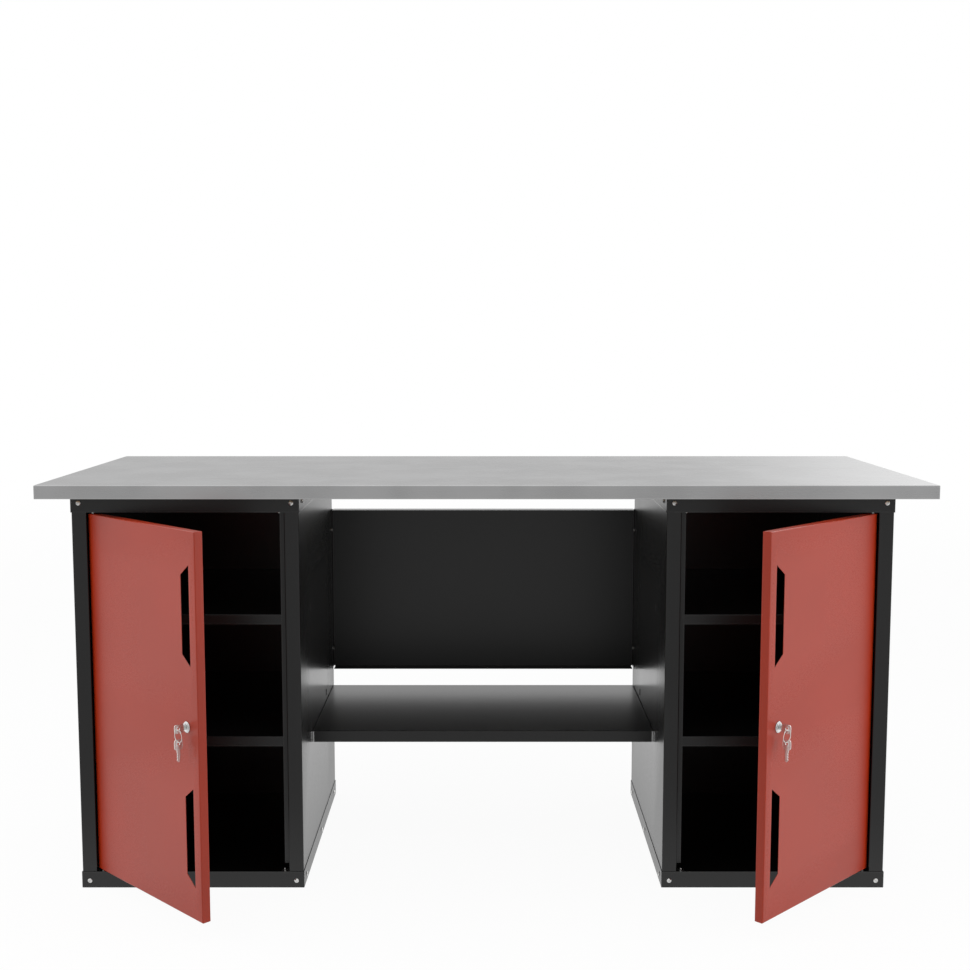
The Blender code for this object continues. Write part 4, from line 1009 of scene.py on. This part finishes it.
def hexagon_nut():
    """A nut: its reach at each angle is the lesser of a hexagon's, corner * cos(30) / cos(angle from the
    middle of the flat), and a cone's, which leaves curved chamfers on its corners."""
    corner, thickness, chamfer = 11.5 * MM, 3.0 * MM, 0.6 * MM
    angle = round_angles(72)
    flat = corner * math.cos(math.pi / 6)
    hexagon = flat / np.cos((angle + math.pi / 6) % (math.pi / 3) - math.pi / 6)
    ring = [LOCK_HOLE, flat * 0.97, corner * 0.97, corner]
    rise = np.array([0.0, 0.0, 0.7, 1.0]) * chamfer
    cone = np.array([*ring, *ring[::-1], LOCK_HOLE])[:, None]
    height = np.concatenate([rise, thickness - rise[::-1], [0.0]])[:, None]
    return round_z(np.minimum(hexagon, cone), angle, SHEET + CLEAR + height)


class WORKBENCH_OT_lock_plugs(bpy.types.Operator):
    """Turn the locks' plugs with their keyways, and cut the cams and their screws"""
    bl_idname = "workbench.lock_plugs"
    bl_label = "Lock Plugs and Cams"

    def execute(self, context):
        pair("lock_plug", keyed_plug(), "chrome", places=INTO_LOCKS, body="lock")
        pair("lock_cam", cam_plate(), "zinc", places=INTO_LOCKS, body="lock")
        pair("cam_screw", cam_screw(), "zinc", places=INTO_LOCKS, body="lock")
        return {"FINISHED"}


def cam_screw():
    """A screw into the plug's tail: a shank with a chamfered tip, and a domed head, a quarter of an oval."""
    seat = CAM_FRONT + CAM_THICKNESS + 2 * CLEAR
    shank, head, rim, rise, chamfer = 1.7 * MM, 4.5 * MM, 0.4 * MM, 2.0 * MM, 0.5 * MM
    tip = seat - 5.0 * MM
    dome = np.linspace(0.0, math.pi / 2, 7)
    below = [(0, tip), (shank - chamfer, tip), (shank, tip + chamfer), (shank, seat), (head, seat)]
    above = np.stack([head * np.cos(dome), seat + rim + rise * np.sin(dome)], axis=-1)
    return turned(np.vstack([below, above]), 32)


def keyed_plug():
    """A stepped cylinder with a keyway: rings that go from the keyway's rectangle to circles by a share. The
    rectangle is met by the ray at each angle: the lesser of half width / |cos| and half height / |sin|."""
    angle = round_angles(64) + math.pi / 64
    wide, high = KEY_HALF_THICKNESS + CLEAR, KEY_BLADE[1] / 2 + CLEAR
    slot = np.minimum(wide / np.abs(np.cos(angle)), high / np.abs(np.sin(angle)))
    radius, tail, front = 5.5 * MM, 3.5 * MM, -1.3 * MM
    floor, chamfer = KEY_BLADE[0] - 7.0 * MM + CLEAR, 0.3 * MM
    step, end = CAM_FRONT - CLEAR, CAM_FRONT + CAM_THICKNESS + CLEAR
    rings = np.array([
        (0, 0, floor), (0, 1, floor), (0, 1, front + 0.25 * MM), (0, 1.06, front),
        (radius - chamfer, 0, front), (radius, 0, front + chamfer), (radius, 0, step),
        (tail, 0, step), (tail, 0, end - chamfer), (tail - chamfer, 0, end), (0, 0, end),
    ])
    return round_z(rings[:, :1] + rings[:, 1:2] * slot, angle, rings[:, 2:])


def cam_plate():
    """The cam: a round end and a narrower tip joined by straight sides, as a ring of section points between
    the hole for the plug and the outline."""
    half_turn = np.linspace(0.0, math.pi, 25)
    head, tip, arm, hole, rounding = 8.0 * MM, 6.0 * MM, 39.0 * MM, 3.8 * MM, 0.35 * MM
    top = np.stack([head * np.cos(half_turn), -head * np.sin(half_turn)], axis=-1)
    bottom = np.stack([-tip * np.cos(half_turn), arm + tip * np.sin(half_turn)], axis=-1)
    outline = np.vstack([top, bottom])
    return flat_ring(hole * unit(outline), outline, CAM_FRONT, CAM_FRONT + CAM_THICKNESS, rounding)


def flat_ring(inner, outer, low, high, edge, dish=0.0):
    """A flat plate between two outlines of as many points: a rounded section, carried round both. dish sinks
    the middle of both faces."""
    soft = edge / np.linalg.norm(outer - inner, axis=1).mean()
    across = [soft, 0.12, 0.2, 0.8, 0.88, 1 - soft, 1]
    level = np.array([0, 0, dish, dish, 0, 0, edge])
    share = np.array([*across, *across[::-1], 0, 0, soft])[:, None]
    height = np.concatenate([low + level, high - level[::-1], [high - edge, low + edge, low]])[:, None]
    return lattice(grid(*(inner + (outer - inner) * share[..., None]).transpose(2, 0, 1), height), wrap=True)


class WORKBENCH_OT_keys(bpy.types.Operator):
    """Cut the keys: one in each lock and a spare one on its ring"""
    bl_idname = "workbench.keys"
    bl_label = "Keys"

    def execute(self, context):
        key = key_shape()
        in_lock = shift(0, -KEY_HOLE_OUT) @ SIDEWAYS
        drop = 2 * (RING_DROP + RING_RADIUS)
        hanging = axes((0, 0, -1), (0, 1, 0), (1, 0, 0), (0, -KEY_HOLE_OUT, -drop))
        pair("key", moved(key, in_lock), "nickel", places=LOCKS, body="key")
        pair("spare_key", moved(key, hanging), "nickel", places=LOCKS, body="spare_key")
        return {"FINISHED"}


def key_shape():
    """A key along +x from its hole. The bow is a flat ring from the hole out to a rounded square, |x / a|^4 +
    |y / b|^4 = 1. The blade is a grooved section carried along x, whose lower edge has notches."""
    rounding, dish, overlap, notch_depth, flat = 0.3 * MM, 0.18 * MM, 1.5 * MM, 1.4 * MM, 0.01 * MM
    angle = round_angles(72)
    direction = np.stack([np.cos(angle), np.sin(angle)], axis=-1)
    half = np.array(KEY_BOW) / 2
    reach = (np.abs(direction / half) ** 4).sum(axis=1, keepdims=True) ** -0.25
    bow_middle = half[0] - KEY_HOLE_TO_END
    bow = flat_ring(KEY_HOLE_RADIUS * direction, direction * reach + (bow_middle, 0.0),
                    -KEY_HALF_THICKNESS, KEY_HALF_THICKNESS, rounding, dish)
    shoulder = bow_middle + half[0]
    start = shoulder - overlap
    length, width = KEY_BLADE
    tip = shoulder + length
    notches = shoulder + length / 5 * np.add.outer(np.arange(1, 4), (0.0, 0.5, 1.0)).ravel()
    notches[3::3] += flat
    x = np.concatenate([[start, start], notches, [tip - width / 2, tip - width / 5, tip, tip]])
    low = np.concatenate([[1, 1], np.tile([1.0, 1.0 - 2 * notch_depth / width, 1.0], 3), [1, 0.55, 0.2, 0.2]])
    high = np.concatenate([np.ones(11), [1, 0.55, 0.2, 0.2]])
    size = np.ones(len(x))
    size[[0, -1]] = 0.0
    across = np.array([-1, -0.9, -0.45, -0.35, 0.1, 0.2, 0.9, 1])
    across = np.concatenate([across, across[::-1]])
    thick = np.array([0.6, 0.92, 0.92, 0.55, 0.55, 0.92, 0.92, 0.6]) * KEY_HALF_THICKNESS
    thick = np.concatenate([thick, -thick[::-1]])
    x, low, high, size = (values[:, None] for values in (x, low, high, size))
    y = width / 2 * np.where(across < 0, across * low, across * high)
    return together(bow, lattice(grid(x, y * size, thick * size), wrap=True))


class WORKBENCH_OT_key_rings(bpy.types.Operator):
    """Coil the split rings that hold the spare keys"""
    bl_idname = "workbench.key_rings"
    bl_label = "Key Rings"

    def execute(self, context):
        ring = moved(split_ring(), shift(0, RING_DROP + RING_RADIUS, -KEY_HOLE_OUT))
        pair("key_ring", ring, "nickel", places=INTO_LOCKS, body="key_ring")
        return {"FINISHED"}


def split_ring():
    """Nearly two turns of a flat oval wire round z. The second coil lies on the first, and the wire steps up
    from one to the other by a smooth step, 3 t^2 - 2 t^3."""
    gap, coil, apart = 0.6, RING_WIRE / 2, 0.01 * MM
    turn = np.linspace(gap, 4 * math.pi - gap, 181)
    turn = np.concatenate([turn[:1], turn, turn[-1:]])[:, None]
    step = np.clip(turn - 2 * math.pi + 0.5, 0.0, 1.0)
    level = coil * (2 * step * step * (3 - 2 * step) - 1)
    round_wire = round_angles(14)
    size = np.ones((len(turn), 1))
    size[[0, -1]] = 0.0
    out = RING_RADIUS + size * RING_WIRE * np.cos(round_wire)
    return round_z(out, turn, level + size * (coil - apart) * np.sin(round_wire))


class WORKBENCH_OT_studio(bpy.types.Operator):
    """Set up the floor, the soft light and the camera"""
    bl_idname = "workbench.studio"
    bl_label = "Studio"

    def execute(self, context):
        scene = context.scene
        studio = scene.workbench_studio
        scene.view_settings.view_transform = "Standard"
        add_camera(scene, studio)
        add_room(scene, studio)
        add_floor(studio)
        left = aimed((-2.6, -0.5, 1.3), (-1.0, 0.0, 0.0)), (2.6, 2.6)
        right = aimed((2.6, -0.5, 1.3), (1.0, 0.0, 0.0)), (2.6, 2.6)
        top = aimed((0.0, -0.7, 3.0), (0.0, 0.0, 1.0)), (3.2, 2.2)
        key = aimed((2.8, -1.25, 0.68), (0.912, -0.41, 0.0)), (1.9, 1.3)
        add_softbox("left_softbox", *left, studio.left_light)
        add_softbox("right_softbox", *right, studio.right_light)
        add_softbox("top_softbox", *top, studio.top_light)
        add_softbox("key_softbox", *key, studio.key_light)
        add_softbox("key_glint", *key, studio.key_gloss, mirrored=True)
        return {"FINISHED"}


def add_camera(scene, studio):
    data = bpy.data.cameras.new("camera")
    data.lens = studio.lens
    data.clip_end = 200.0
    camera = new_object("camera", data)
    camera.location = studio.camera_at
    camera.rotation_euler = (math.pi / 2 - studio.camera_pitch, 0.0, 0.0)
    scene.camera = camera


def by_ray(tree, unseen, mirrored, seen):
    """One of three values: for light, for reflections, and for the camera or what is seen through glass."""
    rays = node(tree, "LightPath").outputs
    straight = sum_of(tree, rays["Is Camera Ray"], rays["Is Transmission Ray"], "MAXIMUM")
    value = eased(tree, rays["Is Glossy Ray"], 0.0, 1.0, unseen, mirrored)
    return eased(tree, straight, 0.0, 1.0, value, seen)


def add_room(scene, studio):
    """A white room, which lights the object more dimly than it looks. In reflections its front is dim, the
    right half of its back is bright, and so is what is higher up."""
    world = bpy.data.worlds.new("white_room")
    world.use_nodes = True
    tree = world.node_tree
    background = tree.nodes["Background"]
    background.inputs["Color"].default_value = (1.0, 1.0, 1.0, 1.0)
    direction = node(tree, "TexCoord").outputs["Generated"]
    x, y, z = node(tree, "SeparateXYZ", {0: direction}).outputs[:3]
    depth = eased(tree, y, -0.7, -0.12, studio.front_gloss, 1.0)
    right = eased(tree, x, 0.12, 0.36, 0.0, studio.right_gloss - 1.0)
    right = sum_of(tree, right, eased(tree, y, 0.2, 0.6, 0.0, 1.0), "MULTIPLY")
    high = eased(tree, z, 0.08, 0.3, 0.0, studio.high_gloss - 1.0)
    mirrored = sum_of(tree, sum_of(tree, depth, right), high)
    strength = by_ray(tree, studio.room_light, mirrored, 1.0)
    tree.links.new(strength, background.inputs["Strength"])
    scene.world = world


def add_floor(studio):
    """A wide pale floor: nearly white where it is seen, still showing the object's shadow, and wholly white
    far away. In reflections it is dim towards the front, as the room is, but not on the right."""
    half = 40.0
    mesh = bpy.data.meshes.new("floor")
    corners = [(-half, -half, 0.0), (half, -half, 0.0), (half, half, 0.0), (-half, half, 0.0)]
    mesh.from_pydata(corners, [], [(0, 1, 2, 3)])
    material = bpy.data.materials.new("pale_floor")
    material.use_nodes = True
    tree = material.node_tree
    tree.nodes.remove(tree.nodes["Principled BSDF"])
    cloud = stretched(tree, pattern(tree, 1.5, 3.0), 0.0, 1.0)
    cloud = shaded(tree, cloud, (0.86, 0.86, 0.86), (0.9, 0.9, 0.9))
    matt = node(tree, "BsdfDiffuse", {"Color": cloud}).outputs[0]
    place = node(tree, "TexCoord").outputs["Object"]
    x, y = node(tree, "SeparateXYZ", {0: place}).outputs[:2]
    depth = eased(tree, y, -0.8, -0.2, studio.front_gloss, 1.0)
    beside = eased(tree, sum_of(tree, x, y), 0.3, 0.9, studio.front_gloss, 1.0)
    depth = sum_of(tree, depth, beside, "MAXIMUM")
    glow = node(tree, "Emission", {"Strength": by_ray(tree, 0.0, depth, 1.0)}).outputs[0]
    away = node(tree, "VectorMath", {0: place}, operation="LENGTH").outputs["Value"]
    share = eased(tree, away, 1.5, 9.0, 0.95, 1.0)
    inputs = {0: by_ray(tree, 0.0, share, share), 1: matt, 2: glow}
    mixed = node(tree, "MixShader", inputs).outputs[0]
    tree.links.new(mixed, tree.nodes["Material Output"].inputs["Surface"])
    mesh.materials.append(material)
    new_object("floor", mesh)


def add_softbox(name, matrix, size, brightness, mirrored=False):
    """A soft box that shines against its +Z, as light or only in reflections. Its power is pi * area *
    brightness."""
    lamp = bpy.data.lights.new(name, "AREA")
    lamp.shape = "RECTANGLE"
    lamp.size, lamp.size_y = size
    lamp.energy = math.pi * size[0] * size[1] * brightness
    softbox = new_object(name, lamp)
    softbox.matrix_world = matrix.T.tolist()
    softbox.visible_camera = False
    softbox.visible_glossy = mirrored
    softbox.visible_diffuse = not mirrored


GROUPS = {
    "workbench_sheet": WorkbenchSheet,
    "workbench_fittings": WorkbenchFittings,
    "workbench_finish": WorkbenchFinish,
    "workbench_studio": WorkbenchStudio,
}
OPERATORS = (
    WORKBENCH_OT_worktop, WORKBENCH_OT_trays, WORKBENCH_OT_side_panels, WORKBENCH_OT_back_panels,
    WORKBENCH_OT_shelves, WORKBENCH_OT_middle_shelf, WORKBENCH_OT_modesty_panel, WORKBENCH_OT_brackets,
    WORKBENCH_OT_pins, WORKBENCH_OT_screws, WORKBENCH_OT_doors, WORKBENCH_OT_lock_housings,
    WORKBENCH_OT_lock_plugs, WORKBENCH_OT_keys, WORKBENCH_OT_key_rings, WORKBENCH_OT_studio,
)


class WORKBENCH_PT_sidebar(bpy.types.Panel):
    """The workbench's sizes, finishes, studio and building steps"""
    bl_idname = "WORKBENCH_PT_sidebar"
    bl_label = "Workbench"
    bl_space_type = "VIEW_3D"
    bl_region_type = "UI"
    bl_category = "Workbench"

    def draw(self, context):
        for group, kind in GROUPS.items():
            box = self.layout.box()
            for name in kind.__annotations__:
                box.prop(getattr(context.scene, group), name)
        for operator in OPERATORS:
            self.layout.operator(operator.bl_idname)


CLASSES = (*GROUPS.values(), *OPERATORS, WORKBENCH_PT_sidebar)


def register():
    for each in CLASSES:
        bpy.utils.register_class(each)
    for name, group in GROUPS.items():
        setattr(bpy.types.Scene, name, bpy.props.PointerProperty(type=group))


def unregister():
    for name in GROUPS:
        delattr(bpy.types.Scene, name)
    for each in reversed(CLASSES):
        bpy.utils.unregister_class(each)


def main():
    register()
    for operator in OPERATORS:
        getattr(bpy.ops.workbench, operator.bl_idname.partition(".")[2])()


if __name__ == "__main__":
    main()
